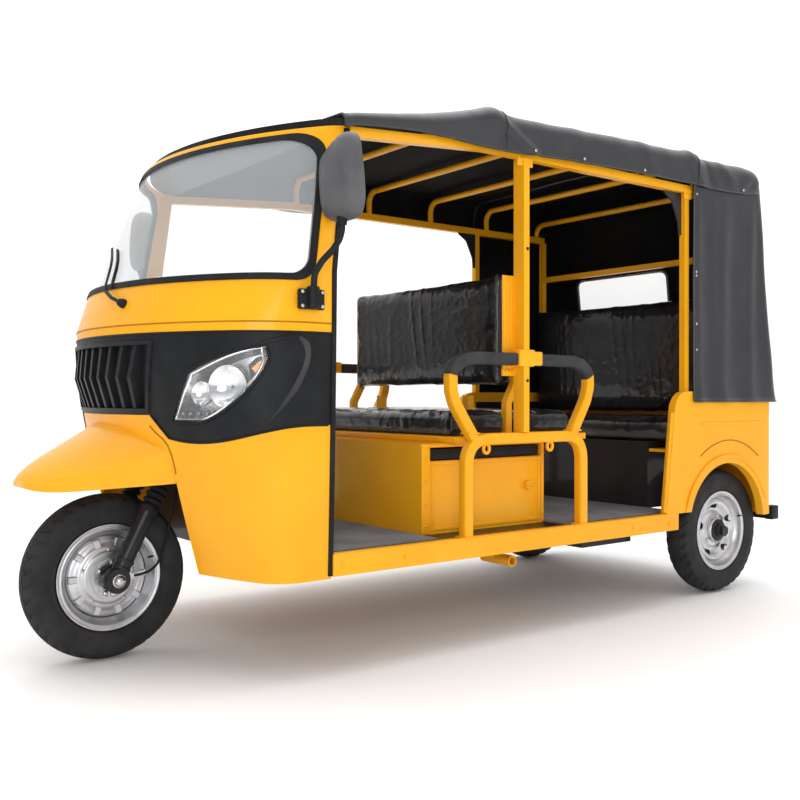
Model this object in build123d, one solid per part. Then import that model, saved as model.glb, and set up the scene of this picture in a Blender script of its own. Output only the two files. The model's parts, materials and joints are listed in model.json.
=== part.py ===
from build123d import *
import functools
import math
import os

# Passenger auto rickshaw on three wheels: a moulded cab, an open bay with back-to-back
# benches and a rear bench, under a vinyl roof stretched over steel bows.
# Millimetres, X to the vehicle's left, Y rearward, Z up. While the pieces are made, Y is
# measured from the front axle; on writing, the origin goes to the ground at mid length.

# Overall sizes
WHEELBASE = 2435
FRONT_OVERHANG = 265
REAR_OVERHANG = 350
HALF_WIDTH = 652
FIT = 0.3
RUNNING_FIT = 0.05

# Wheels
TYRE_RADIUS = 260
TYRE_HALF_WIDTH = 54
RIM_RADIUS = 164
BEAD_RADIUS = 152
RIM_HALF_WIDTH = 46
RIM_GAUGE = 5
RIM_WELL_DEPTH = 18
RIM_WELL_HALF = 14
BEAD_SEAT = 20
TREAD_HALF = 45
TREAD_CROWN = 14
FLANK_RISE = 4
DISC_GAUGE = 8
DISC_DISH = 26
DISC_FACE = 34
HUB_STEP = 6
DRUM_RADIUS = 92
HUB_RADIUS = 34
REAR_WHEEL_X = 540
FRONT_AXLE_RADIUS = 8
SPINDLE_RADIUS = 15
SPINDLE_NUT = 22

# Cab shell: horizontal sections of a nose arc and two corner arcs
CAB_WALL = 10
CAB_BACK = 760
CAB_LOW = 295
CREASE_Z = 1042
CAB_ROOF_Z = 1652
CAB_ROOF_SLOPE = 0.06
# columns: height, nose station, half width, nose radius, corner radius
CAB_LOWER = (
    (CAB_LOW, 124, 640, 1500, 120),
    (587, 35, 642, 1100, 200),
    (800, -18, 642, 900, 260),
    (CREASE_Z, -40, 642, 850, 280),
)
CAB_UPPER = (
    (CREASE_Z, -40, 642, 850, 280),
    (1165, 0, 640, 850, 280),
    (1720, 250, 628, 870, 90),
)
CAB_REAR_LOW = 437
CAB_REAR_MID = 452
CAB_REAR_TOP = 512
CAB_REAR_KNEE_Z = 1200
FASCIA_TOP = 1010
# fascia's lower edge in front view, from the cab's side to the grille
FASCIA_SIDE = (HALF_WIDTH, 749)
FASCIA_DIP = (500, 697)
FASCIA_STEP = (344, 705)
FASCIA_CORNER = (287, 771)
WELL_HALF = 338
WELL_SHOULDER_Z = 575
WELL_TOP_HALF = 240
WELL_TOP_Z = 700

# Windscreen
GLASS_LOW = 1158
GLASS_TOP = 1610
GLASS_REAR_LOW = 378
GLASS_REAR_TOP = 446
GLASS_CORNER = 60
GLASS_GAUGE = 5
GLASS_SET = 2
SEAL_WIDTH = 20
SEAL_PROUD = 4

# Visor over the windscreen
VISOR_GAUGE = 24
VISOR_PROUD = 22

# Grille and headlamps
GRILLE_TOP = 990
GRILLE_LOW = 778
GRILLE_TOP_HALF = 326
GRILLE_LOW_HALF = 286
GRILLE_RIM = 12
GRILLE_PROUD = 6
GRILLE_DEPTH = 22
GRILLE_SLATS = 9
SLAT_WIDTH = 16
SLAT_PROUD = 20
# headlamp outline in front view, from the inner lower corner round by the outer tip
LAMP_INNER_LOW = (366, 752)
LAMP_LOW = (458, 750)
LAMP_BELLY = (568, 826)
LAMP_OUTER = (613, 935)
LAMP_TIP = (609, 972)
LAMP_BROW = (522, 942)
LAMP_INNER_TOP = (431, 896)
LAMP_DEPTH = 70
LAMP_BACK = 320
LAMP_WALL = 4
LENS_GAUGE = 5

# Front mudguard
MUDGUARD_GAUGE = 8
MUDGUARD_SHOULDER = 0.45
# columns: station, half width, lower edge, top
MUDGUARD = (
    (-FRONT_OVERHANG, 45, 556, 578),
    (-215, 135, 546, 625),
    (-110, 215, 552, 686),
    (0, 285, 562, 748),
    (140, 352, 575, 800),
)

# Frame and floor
SILL_LOW = 302
SILL_TOP = 366
SILL_WIDTH = 40
SILL_END = 2058
FLOOR_GAUGE = 6
MAT_GAUGE = 4
MAT_MARGIN = 6
MAT_SETBACK = 8
BULKHEAD_GAUGE = 12
BULKHEAD_TOP = 880
FLOOR_END = 2110
RAIL_X = 330
RAIL_WIDTH = 40
RAIL_KICK_Y = 2136
RAIL_KICK_RUN = 160
RAIL_RISE = 120
RAIL_END = 2700
CROSS_WIDTH = 40
CROSS_STATIONS = (480, 900, 1290, 1700, 2090)
JACK_TUBE_RADIUS = 20
JACK_BORE_RADIUS = 14
JACK_Y = 1290
JACK_Z = 240
JACK_LENGTH = 150
JACK_OUT = 512
TRAY_HALF = 430
TRAY_FRONT = 1745
TRAY_REAR = 2040
TRAY_LOW = 232
TRAY_GAUGE = 3

# Steering
RAKE = 27
FORK_OFFSET = 45
LEG_X = 95
SLIDER_RADIUS = 27
STANCHION_RADIUS = 19
SLIDER_TOP = 250
CLAMP_LOW = 430
CLAMP_GAUGE = 18
CLAMP_MARGIN = 9
FOOT_DROP = 35
HEAD_LENGTH = 100
HEAD_RADIUS = 27
STEM_RADIUS = 14
HEAD_GAP = 1
HANDLEBAR_RISE = 800
HANDLEBAR_HALF = 340
HANDLEBAR_RADIUS = 11
GRIP_RADIUS = 16
GRIP_LENGTH = 125
BRAKE_PLATE_GAUGE = 5
CABLE_RADIUS = 4
CABLE_BEND = 60
# columns: offsets outward, rearward and upward from the brake plate's lug
CABLE_ROUTE = (
    (0, 0, 0),
    (0, 70, 0),
    (5, 105, 90),
    (5, 130, 200),
    (0, 158, 300),
)
NUT_RADIUS = 15
NUT_GAUGE = 12
FRONT_HUB_HALF = 50
REAR_HUB_HALF = 58
SIDE_GAP = 5
BRAKE_PLATE_RADIUS = 62
LUG_SIZE = 9
LUG_PROUD = 4
BAR_SWEEP = 80
BAR_BEND = 60
BAR_CLAMP = 22
NECK_HALF = 30
NECK_DEPTH = 34
DASH_LOW = 1100
DASH_TOP = 1112
DASH_REAR = 240
POD_HALF = 110
POD_FRONT = 110
POD_LENGTH = 110
POD_HEIGHT = 70

# Seats
BOX_HALF = 502
BOX_FRONT = 881
BOX_REAR = 1455
BOX_TOP = 669
BOX_WALL = 12
BOARD_GAUGE = 22
BOARD_HALF = 560
BOARD_FRONT = 985
BOARD_REAR = 1620
CUSHION_HALF = 525
CUSHION_HEIGHT = 82
CUSHION_EDGE = 18
CUSHION_SETBACK = 12
HATCH_FRONT = 920
HATCH_REAR = 1440
HATCH_LOW = 372
HATCH_TOP = 655
HATCH_PANEL_TOP = 610
LATCH_SETBACK = 70
LATCH_Z = 506
LATCH_RADIUS = 14
LATCH_PROUD = 10
CUSHION_GAP_Y = 1290
CUSHION_GAP = 44
BACKREST_HALF = 439
BACKREST_LOW = 830
BACKREST_TOP = 1243
BACKREST_FRONT = 1268
BACKREST_REAR = 1372
POST_WIDTH = 30
POST_X = 482
PROP_X = 274
POST_SETBACK = 40
POST_KNEE = 70
REAR_BASE_HALF = 460
REAR_BASE_FRONT = 2110
REAR_BASE_TOP = 640
REAR_CUSHION_HALF = 580
REAR_CUSHION_FRONT = 2125
REAR_CUSHION_HEIGHT = 95
REAR_BACK_TOP = 1260
REAR_BACK_THICK = 85
REAR_BACK_LEAN = 20
REAR_SEAT_SETBACK = 40

# Upper frame
PILLAR_X = 622
B_PILLAR_Y = 1226
B_PILLAR_WIDTH = 50
B_PILLAR_DEPTH = 26
C_PILLAR_Y = 2132
C_PILLAR_WIDTH = 26
D_POST_X = 606
D_POST_Y = 2594
D_POST_WIDTH = 26
RAIL_Z = 1652
RAIL_FRONT_Z = 1610
RAIL_LEVEL_Y = 1050
ROOF_RAIL = 30
REAR_BAR_Z = 1440
BACK_BAR_Z = 1150
BOW_RADIUS = 13
BOW_STATIONS = (1080, 1470, 1835, 2200, 2560)
BOW_X = 618
BOW_GAP = 1
BOW_BEND = 50

# Roof and rear canvas
CANVAS = 5
CANVAS_HALF = HALF_WIDTH + 2 * (CANVAS + FIT)
# columns: station, hem height, shoulder height, crown height, shoulder radius
ROOF = (
    (472, 1604, 1664, 1678, 30),
    (1080, 1642, 1786, 1806, 48),
    (2200, 1664, 1780, 1800, 48),
    (2650, 1690, 1738, 1756, 40),
)
QUARTER_FRONT = 2150
QUARTER_LOW = 812
QUARTER_TOP = 1800
REAR_WALL_LOW_Y = 2772
REAR_WALL_TOP_Y = 2645
QUARTER_CORNER = 70
WINDOW_X = -165
WINDOW_HALF = 284
WINDOW_LOW = 1215
WINDOW_TOP = 1430
WINDOW_CORNER = 40
PANE_SET = 1.5
PANE_GAUGE = 2

# Rear body
BODY_LOW = 318
BODY_CORNER = 60
FENDER_WALL = 30
FENDER_TOP = 846
FENDER_FRONT_LOW = 1984
FENDER_FRONT_TOP = 2042
FENDER_SHOULDER = 80
ARCH_RADIUS = 258
ARCH_LEAD = 51
ARCH_RISE = 33
ARCH_LIP = 34
ARCH_LIP_PROUD = 4
WHEELHOUSE_TOP = 600
WHEELHOUSE_X = 468
TAIL_Y = 2735
TAIL_GAUGE = 14
TAIL_HALF = 560
PLATE_SPACING = 210
PLATE_Z = 560
PLATE_HOLE = 3.5
BUMPER_LOW = 290
BUMPER_TOP = 345
BUMPER_HALF = 640
TAIL_LAMP_X = 500
TAIL_LAMP_WIDTH = 90
TAIL_LAMP_LOW = 640
TAIL_LAMP_HEIGHT = 130
TAIL_LAMP_DEPTH = 28
TAIL_LAMP_EDGE = 8

# Rear suspension and engine
AXLE_TUBE_RADIUS = 34
AXLE_HALF = 462
DIFF_RADIUS = 105
DIFF_HALF = 60
SPRING_WIDTH = 50
SPRING_X = 395
SPRING_FRONT = 325
SPRING_REAR = 265
SPRING_GAUGE = 26
SPRING_CAMBER = 40
HANGER_GAUGE = 16
ENGINE_HALF = 190
ENGINE_FRONT = 960
ENGINE_LENGTH = 420
ENGINE_HEIGHT = 260

# Handrails
HOOP = 38
HOOP_X = 622
HOOP_FRONT = 974
HOOP_REAR = 1526
HOOP_BAR_Z = 685
HOOP_TOP = 962
HOOP_BULGE = 76
HOOP_BULGE_Z = 890
HOOP_BEND = 90
LOOP_BEND = 40
LOOP_INSET = 60
LOOP_SPREAD = 20

# Mirrors
MIRROR_X = 730
MIRROR_Y = 422
MIRROR_LOW = 1342
MIRROR_HEIGHT = 225
MIRROR_WIDTH = 156
MIRROR_DEPTH = 46
MIRROR_CORNER = 48
MIRROR_TAPER = 18
MIRROR_ARM_RADIUS = 8
MIRROR_BASE_Z = 1111
MIRROR_BASE_Y = 392
MIRROR_BASE_HALF = 24
MIRROR_BASE_RISE = 28
MIRROR_BASE_GAUGE = 24
MIRROR_ARM_SET = 16
MIRROR_ARM_RISE = 100
MIRROR_ARM_DROP = 70
MIRROR_ARM_BEND = 40

WHEEL_Z = TYRE_RADIUS
LENGTH = FRONT_OVERHANG + WHEELBASE + REAR_OVERHANG
ORIGIN_SHIFT = FRONT_OVERHANG - LENGTH / 2
REAR_END = WHEELBASE + REAR_OVERHANG
FLOOR_TOP = SILL_TOP
FAR = 2000


def block(x0, x1, y0, y1, z0, z1):
    return Pos((x0 + x1) / 2, (y0 + y1) / 2, (z0 + z1) / 2) * Box(x1 - x0, y1 - y0, z1 - z0)


def side_face(outline):
    """Face in the side view from edges or (station, height) points."""
    return Plane.YZ * make_face(outline)


def across(outline, x0, x1):
    """Side-view outline carried across from x0 to x1."""
    return Pos(x0, 0, 0) * extrude(side_face(outline), amount=x1 - x0, dir=(1, 0, 0))


def fore_aft(outline, y0, y1):
    """Front-view outline of (x, height) carried from station y0 to y1."""
    return Pos(0, y0, 0) * extrude(Plane.XZ * make_face(outline), amount=y1 - y0, dir=(0, 1, 0))


def both_sides(shape):
    return [shape, mirror(shape, about=Plane.YZ)]


def loop(*points):
    return Polyline(*points, close=True)


def tube(points, radius, bends):
    path = FilletPolyline(*points, radius=bends)
    return sweep(Plane(path @ 0, z_dir=path % 0) * Circle(radius), path=path)


def square_tube(points, width, bends, x_dir):
    path = FilletPolyline(*points, radius=bends)
    section = Plane(path @ 0, x_dir=x_dir, z_dir=path % 0)
    return sweep(section * RectangleRounded(width, width, width / 5), path=path)


def rod(start, end, radius):
    start = Vector(*start)
    along = Vector(*end) - start
    return extrude(Plane(start, z_dir=along) * Circle(radius), amount=along.length)


# Cab shell


def cab_section(row, grow):
    height, nose, half, nose_radius, corner_radius = row
    nose_radius += grow
    corner_radius += grow
    half += grow
    nose -= grow
    centre = nose + nose_radius
    inset = half - corner_radius
    spread = nose_radius - corner_radius
    reach = math.sqrt(spread ** 2 - inset ** 2)
    corner_y = centre - reach
    meet_x = nose_radius * inset / spread
    meet_y = centre - nose_radius * reach / spread
    turn = math.atan2(meet_y - corner_y, meet_x - inset) / 2
    mid_x = inset + corner_radius * math.cos(turn)
    mid_y = corner_y + corner_radius * math.sin(turn)
    outline = [
        Line((-half, CAB_BACK), (-half, corner_y)),
        ThreePointArc((-half, corner_y), (-mid_x, mid_y), (-meet_x, meet_y)),
        ThreePointArc((-meet_x, meet_y), (0, nose), (meet_x, meet_y)),
        ThreePointArc((meet_x, meet_y), (mid_x, mid_y), (half, corner_y)),
        Line((half, corner_y), (half, CAB_BACK)),
        Line((half, CAB_BACK), (-half, CAB_BACK)),
    ]
    return Plane.XY.offset(height) * make_face(outline)


@functools.cache
def cab_block(grow):
    lower = loft([cab_section(row, grow) for row in CAB_LOWER])
    upper = loft([cab_section(row, grow) for row in CAB_UPPER], ruled=True)
    return lower + upper


def roof_line(station, drop):
    """Height of the cab's roof, which falls towards the nose, lowered by drop."""
    return CAB_ROOF_Z + CAB_ROOF_SLOPE * (station - CAB_REAR_TOP) - drop


def under_roof(drop):
    """Everything under the cab's roof plane."""
    return across(
        loop((-FAR, -FAR), (FAR, -FAR), (FAR, roof_line(FAR, drop)), (-FAR, roof_line(-FAR, drop))),
        -FAR,
        FAR,
    )


def cab_trim():
    """Side view of the cab, closed by its raked rear edge."""
    return across(
        loop(
            (-FAR, 0),
            (CAB_REAR_LOW, 0),
            (CAB_REAR_LOW, SILL_TOP),
            (CAB_REAR_MID, CAB_REAR_KNEE_Z),
            (CAB_REAR_TOP, CAB_ROOF_Z),
            (CAB_REAR_TOP, FAR),
            (-FAR, FAR),
        ),
        -FAR,
        FAR,
    )


def cab_skin(outer, inner):
    return cab_block(outer) - cab_block(inner)


def fascia_region():
    """Everything level with the fascia, above its dipping lower edge."""
    corner_x, corner_z = FASCIA_CORNER
    low = FASCIA_SIDE[1]
    outline = [
        Line((-FAR, FASCIA_TOP), (FAR, FASCIA_TOP)),
        Line((-corner_x, corner_z), (corner_x, corner_z)),
    ]
    half = [
        Line((FAR, FASCIA_TOP), (FAR, low)),
        Line((FAR, low), FASCIA_SIDE),
        ThreePointArc(FASCIA_SIDE, FASCIA_DIP, FASCIA_STEP),
        Line(FASCIA_STEP, FASCIA_CORNER),
    ]
    for edge in half:
        outline += both_sides(edge)
    return fore_aft(outline, -FAR, FAR)


def grille_face(inset):
    slope = (GRILLE_TOP_HALF - GRILLE_LOW_HALF) / (GRILLE_TOP - GRILLE_LOW)
    low = GRILLE_LOW + inset
    top = GRILLE_TOP - inset
    low_half = GRILLE_LOW_HALF + slope * inset - inset
    top_half = GRILLE_TOP_HALF - slope * inset - inset
    return loop((-low_half, low), (low_half, low), (top_half, top), (-top_half, top))


def cab_row(height):
    """Cab section at a height between two rows of the lower shell."""
    for low, high in zip(CAB_LOWER, CAB_LOWER[1:]):
        if height <= high[0]:
            share = (height - low[0]) / (high[0] - low[0])
            return [a + share * (b - a) for a, b in zip(low, high)]
    return CAB_LOWER[-1]


def slat_block():
    """Cab front between the grille's edges, brought to a blunt edge at mid height."""
    middle = (GRILLE_LOW + GRILLE_TOP) / 2
    rows = ((GRILLE_LOW, 0), (middle, SLAT_PROUD), (GRILLE_TOP, 0))
    return loft([cab_section(cab_row(height), grow) for height, grow in rows], ruled=True)


def lamp_face(inset):
    """Almond headlamp outline in front view, rising outward."""
    outline = [
        Line(LAMP_INNER_LOW, LAMP_LOW),
        ThreePointArc(LAMP_LOW, LAMP_BELLY, LAMP_OUTER),
        Line(LAMP_OUTER, LAMP_TIP),
        ThreePointArc(LAMP_TIP, LAMP_BROW, LAMP_INNER_TOP),
        Line(LAMP_INNER_TOP, LAMP_INNER_LOW),
    ]
    return offset(make_face(outline), -inset)


def lamp_prism(inset):
    prism = extrude(Plane.XZ * lamp_face(inset), amount=FAR, dir=(0, -1, 0))
    return Compound(both_sides(Pos(0, LAMP_BACK - inset, 0) * prism))


def well_cut():
    return fore_aft(
        loop(
            (-WELL_HALF, 0),
            (-WELL_HALF, WELL_SHOULDER_Z),
            (-WELL_TOP_HALF, WELL_TOP_Z),
            (WELL_TOP_HALF, WELL_TOP_Z),
            (WELL_HALF, WELL_SHOULDER_Z),
            (WELL_HALF, 0),
        ),
        -FAR,
        CAB_REAR_LOW,
    )


def windscreen_prism(inset):
    """Side view of the windscreen opening, its top along the roof, carried right across the cab."""
    lean = (GLASS_REAR_TOP - GLASS_REAR_LOW) / (GLASS_TOP - GLASS_LOW)
    low = GLASS_LOW + inset
    top = GLASS_TOP - inset
    rear_low = GLASS_REAR_LOW + lean * inset - inset
    rear_top = GLASS_REAR_TOP - lean * inset - inset
    nose_top = top - CAB_ROOF_SLOPE * (FAR + rear_top)
    face = side_face(loop((-FAR, low), (rear_low, low), (rear_top, top), (-FAR, nose_top)))
    rear = face.vertices().filter_by(lambda v: v.Y > 0)
    return Pos(-FAR, 0, 0) * extrude(fillet(rear, GLASS_CORNER), amount=2 * FAR, dir=(1, 0, 0))


# Wheels: profiles of (distance across, radius) turned about the axle


def turned(outline):
    return revolve(make_face(outline), Axis.X)


def tyre():
    seat = BEAD_RADIUS + FIT
    bead = RIM_HALF_WIDTH - RIM_GAUGE - FIT
    half = TYRE_HALF_WIDTH
    edge = TYRE_RADIUS - TREAD_CROWN
    flank = RIM_RADIUS + FLANK_RISE
    belly = (flank + edge) / 2
    outline = [
        Line((-bead, seat), (bead, seat)),
        Line((bead, seat), (bead, flank)),
        ThreePointArc((bead, flank), (half, belly), (TREAD_HALF, edge)),
        ThreePointArc((TREAD_HALF, edge), (0, TYRE_RADIUS), (-TREAD_HALF, edge)),
        ThreePointArc((-TREAD_HALF, edge), (-half, belly), (-bead, flank)),
        Line((-bead, flank), (-bead, seat)),
    ]
    return turned(outline)


def wheel(bore_radius, hub_half):
    half = RIM_HALF_WIDTH
    well = BEAD_RADIUS - RIM_WELL_DEPTH
    # columns: distance across, outer radius, of one half of the rim from flange to well
    flange = (
        (half, RIM_RADIUS),
        (half - RIM_GAUGE, RIM_RADIUS),
        (half - RIM_GAUGE, BEAD_RADIUS),
        (half - BEAD_SEAT, BEAD_RADIUS),
        (RIM_WELL_HALF, well),
    )
    under = (
        (RIM_WELL_HALF + RIM_GAUGE / 2, well - RIM_GAUGE),
        (half - BEAD_SEAT - RIM_GAUGE / 2, BEAD_RADIUS - RIM_GAUGE),
        (half, BEAD_RADIUS - RIM_GAUGE),
    )
    right = flange + tuple((-x, radius) for x, radius in reversed(flange))
    left = tuple((-x, radius) for x, radius in reversed(under)) + under
    rim = turned(loop(*right, *left))
    disc = turned(
        loop(
            (0, well - FIT),
            (DISC_GAUGE, well - FIT),
            (DISC_DISH, DRUM_RADIUS),
            (DISC_FACE, DRUM_RADIUS - 2 * HUB_STEP),
            (DISC_FACE, HUB_RADIUS),
            (hub_half, HUB_RADIUS - HUB_STEP),
            (hub_half, bore_radius),
            (-hub_half, bore_radius),
            (-hub_half, DRUM_RADIUS - HUB_STEP),
            (-hub_half + HUB_STEP, DRUM_RADIUS),
            (DISC_DISH - DISC_GAUGE, DRUM_RADIUS),
        )
    )
    return rim + disc


# Steering column parts sit on a raked line; s runs up that line from the axle


def steer_point(x, back, s):
    rake = math.radians(RAKE)
    y = back * math.cos(rake) + s * math.sin(rake)
    z = WHEEL_Z - back * math.sin(rake) + s * math.cos(rake)
    return (x, y, z)


def steer_plane(x, back, s):
    rake = math.radians(RAKE)
    return Plane(steer_point(x, back, s), x_dir=(1, 0, 0), z_dir=(0, math.sin(rake), math.cos(rake)))


def fork_clamp(s):
    plane = steer_plane(0, FORK_OFFSET / 2, s)
    half = LEG_X + STANCHION_RADIUS + CLAMP_MARGIN
    depth = FORK_OFFSET + 2 * (STANCHION_RADIUS + CLAMP_MARGIN)
    return extrude(plane * RectangleRounded(2 * half, depth, CLAMP_GAUGE), amount=CLAMP_GAUGE)


def front_fork():
    top = CLAMP_LOW + CLAMP_GAUGE + HEAD_LENGTH + 2 * HEAD_GAP
    fork = fork_clamp(CLAMP_LOW) + fork_clamp(top)
    for x in (-LEG_X, LEG_X):
        fork += rod(steer_point(x, 0, -FOOT_DROP), steer_point(x, 0, SLIDER_TOP), SLIDER_RADIUS)
        fork += rod(steer_point(x, 0, SLIDER_TOP), steer_point(x, 0, top + CLAMP_GAUGE), STANCHION_RADIUS)
    stem_top = steer_point(0, FORK_OFFSET, HANDLEBAR_RISE)
    fork += rod(steer_point(0, FORK_OFFSET, CLAMP_LOW), stem_top, STEM_RADIUS)
    bore = FRONT_AXLE_RADIUS + RUNNING_FIT
    return fork - rod((-FAR, 0, WHEEL_Z), (FAR, 0, WHEEL_Z), bore)


def front_axle():
    """Fixed pin with a nut outside each fork leg and a spacer on the far side of the hub."""
    nut = LEG_X + SLIDER_RADIUS
    spacer = LEG_X - SLIDER_RADIUS - FIT
    axle = rod((-nut - NUT_GAUGE, 0, WHEEL_Z), (nut + NUT_GAUGE, 0, WHEEL_Z), FRONT_AXLE_RADIUS)
    for x in (-nut - NUT_GAUGE, nut):
        hexagon = Plane((x, 0, WHEEL_Z), z_dir=(1, 0, 0)) * RegularPolygon(NUT_RADIUS, 6)
        axle += extrude(hexagon, amount=NUT_GAUGE)
    axle += rod((-spacer, 0, WHEEL_Z), (-FRONT_HUB_HALF - SIDE_GAP, 0, WHEEL_Z), NUT_RADIUS)
    return axle


def brake_plate():
    inner = FRONT_HUB_HALF + SIDE_GAP
    outer = inner + BRAKE_PLATE_GAUGE
    spacer = LEG_X - SLIDER_RADIUS - FIT
    plate = rod((inner, 0, WHEEL_Z), (outer, 0, WHEEL_Z), BRAKE_PLATE_RADIUS)
    plate += rod((inner, 0, WHEEL_Z), (spacer, 0, WHEEL_Z), NUT_RADIUS)
    low = BRAKE_PLATE_RADIUS - LUG_SIZE
    high = BRAKE_PLATE_RADIUS + LUG_SIZE
    plate += block(inner, outer + LUG_PROUD, low, high, WHEEL_Z - LUG_SIZE, WHEEL_Z + LUG_SIZE)
    return plate - rod((0, 0, WHEEL_Z), (FAR, 0, WHEEL_Z), FRONT_AXLE_RADIUS + RUNNING_FIT)


def brake_cable():
    """Cable from the brake plate's lug, back round the fork leg and up to the lower clamp."""
    x = FRONT_HUB_HALF + SIDE_GAP + CABLE_RADIUS
    start_y = BRAKE_PLATE_RADIUS + LUG_SIZE
    points = [(x + out, start_y + back, WHEEL_Z + up) for out, back, up in CABLE_ROUTE]
    return tube(points, CABLE_RADIUS, CABLE_BEND)


def handlebar():
    y, z = steer_point(0, FORK_OFFSET, HANDLEBAR_RISE)[1:]
    half = HANDLEBAR_HALF
    bend = half / 3
    bar = tube(
        ((-half, y + BAR_SWEEP, z), (-bend, y, z), (bend, y, z), (half, y + BAR_SWEEP, z)),
        HANDLEBAR_RADIUS,
        BAR_BEND,
    )
    low = steer_point(0, FORK_OFFSET, HANDLEBAR_RISE - BAR_CLAMP)
    top = steer_point(0, FORK_OFFSET, HANDLEBAR_RISE + BAR_CLAMP)
    bar += rod(low, top, BAR_CLAMP)
    for side in (-1, 1):
        along = Vector(side * (half - bend), BAR_SWEEP, 0).normalized()
        end = Vector(side * half, y + BAR_SWEEP, z)
        bar += rod(tuple(end - along * GRIP_LENGTH), tuple(end + along * FIT), GRIP_RADIUS)
    stem_top = steer_point(0, FORK_OFFSET, HANDLEBAR_RISE)
    return bar - rod(steer_point(0, FORK_OFFSET, 0), stem_top, STEM_RADIUS)


# Frame


def chassis_frame():
    rail_top = SILL_TOP - FLOOR_GAUGE
    kick = RAIL_KICK_Y + RAIL_KICK_RUN
    high = SILL_LOW + RAIL_RISE
    high_top = rail_top + RAIL_RISE
    half = block(HALF_WIDTH - SILL_WIDTH, HALF_WIDTH, CAB_REAR_LOW, SILL_END, SILL_LOW, SILL_TOP)
    half += across(
        loop(
            (CAB_REAR_LOW, SILL_LOW),
            (RAIL_KICK_Y, SILL_LOW),
            (kick, high),
            (RAIL_END, high),
            (RAIL_END, high_top),
            (kick, high_top),
            (RAIL_KICK_Y, rail_top),
            (CAB_REAR_LOW, rail_top),
        ),
        RAIL_X - RAIL_WIDTH / 2,
        RAIL_X + RAIL_WIDTH / 2,
    )
    inner_end = JACK_OUT - JACK_LENGTH
    front = JACK_Y - CROSS_WIDTH / 2
    half += rod((inner_end, JACK_Y, JACK_Z), (JACK_OUT, JACK_Y, JACK_Z), JACK_TUBE_RADIUS)
    half += block(inner_end, JACK_OUT - JACK_LENGTH / 2, front, front + CROSS_WIDTH, JACK_Z, SILL_LOW + FIT)
    half -= rod((inner_end, JACK_Y, JACK_Z), (JACK_OUT, JACK_Y, JACK_Z), JACK_BORE_RADIUS)
    outer = SPRING_X + SPRING_WIDTH / 2
    eye = WHEEL_Z + AXLE_TUBE_RADIUS + SPRING_CAMBER
    rear = WHEELBASE + SPRING_REAR
    half += block(outer - SPRING_WIDTH, outer, rear + FIT, rear + HANGER_GAUGE, eye, high_top)
    half += block(0, outer, RAIL_END - CROSS_WIDTH, rear + HANGER_GAUGE, high, high_top)
    inner = HALF_WIDTH - SILL_WIDTH
    half += block(0, inner, CAB_REAR_LOW, CAB_REAR_LOW + CROSS_WIDTH, SILL_LOW, rail_top)
    for station in CROSS_STATIONS:
        half += block(0, inner, station - CROSS_WIDTH / 2, station + CROSS_WIDTH / 2, SILL_LOW, rail_top)
    return half + mirror(half, about=Plane.YZ)


def under_tray():
    """Open tray slung under the floor between the cross members."""
    inner = TRAY_HALF - TRAY_GAUGE
    front = TRAY_FRONT + TRAY_GAUGE
    rear = TRAY_REAR - TRAY_GAUGE
    shell = block(-TRAY_HALF, TRAY_HALF, TRAY_FRONT, TRAY_REAR, TRAY_LOW, SILL_LOW)
    return shell - block(-inner, inner, front, rear, TRAY_LOW + TRAY_GAUGE, FAR)


def steering_neck():
    """Upright post before the bulkhead with a gusset out to the head tube."""
    back = CAB_REAR_LOW - BULKHEAD_GAUGE
    front = back - NECK_DEPTH
    low = CLAMP_LOW + CLAMP_GAUGE + HEAD_GAP
    margin = HEAD_LENGTH / 8
    neck = block(-NECK_HALF, NECK_HALF, front, back, SILL_LOW, BULKHEAD_TOP)
    low_y, low_z = steer_point(0, FORK_OFFSET, low + margin)[1:]
    top_y, top_z = steer_point(0, FORK_OFFSET, low + HEAD_LENGTH - margin)[1:]
    drop = 2 * NECK_HALF
    web = loop((low_y, low_z), (top_y, top_z), (front, top_z - drop), (front, low_z - drop))
    neck += across(web, -NECK_HALF / 2, NECK_HALF / 2)
    neck += rod(steer_point(0, FORK_OFFSET, low), steer_point(0, FORK_OFFSET, low + HEAD_LENGTH), HEAD_RADIUS)
    stem_top = steer_point(0, FORK_OFFSET, HANDLEBAR_RISE)
    return neck - rod(steer_point(0, FORK_OFFSET, 0), stem_top, STEM_RADIUS + RUNNING_FIT)


def floor_pan():
    inner = HALF_WIDTH - SILL_WIDTH
    return block(-inner, inner, CAB_REAR_LOW, FLOOR_END, FLOOR_TOP - FLOOR_GAUGE, FLOOR_TOP)


def floor_mats():
    inner = HOOP_X - HOOP / 2 - MAT_MARGIN
    # columns: front edge, rear edge
    rows = ((CAB_REAR_LOW, BOX_FRONT), (BOX_REAR, REAR_BASE_FRONT))
    top = FLOOR_TOP + MAT_GAUGE
    return [block(-inner, inner, y0 + MAT_SETBACK, y1 - MAT_SETBACK, FLOOR_TOP, top) for y0, y1 in rows]


def bulkhead():
    inner = CAB_LOWER[0][2] - CAB_WALL - FIT
    return block(-inner, inner, CAB_REAR_LOW - BULKHEAD_GAUGE, CAB_REAR_LOW, CAB_LOW, BULKHEAD_TOP)


def dashboard():
    shelf = cab_block(-CAB_WALL - FIT) & block(-FAR, FAR, -FAR, DASH_REAR, DASH_LOW, DASH_TOP)
    pod = block(-POD_HALF, POD_HALF, POD_FRONT, POD_FRONT + POD_LENGTH, DASH_TOP, DASH_TOP + POD_HEIGHT)
    return shelf + fillet(pod.edges().filter_by(Axis.Z), POD_HALF / 4)


# Front mudguard


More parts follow.
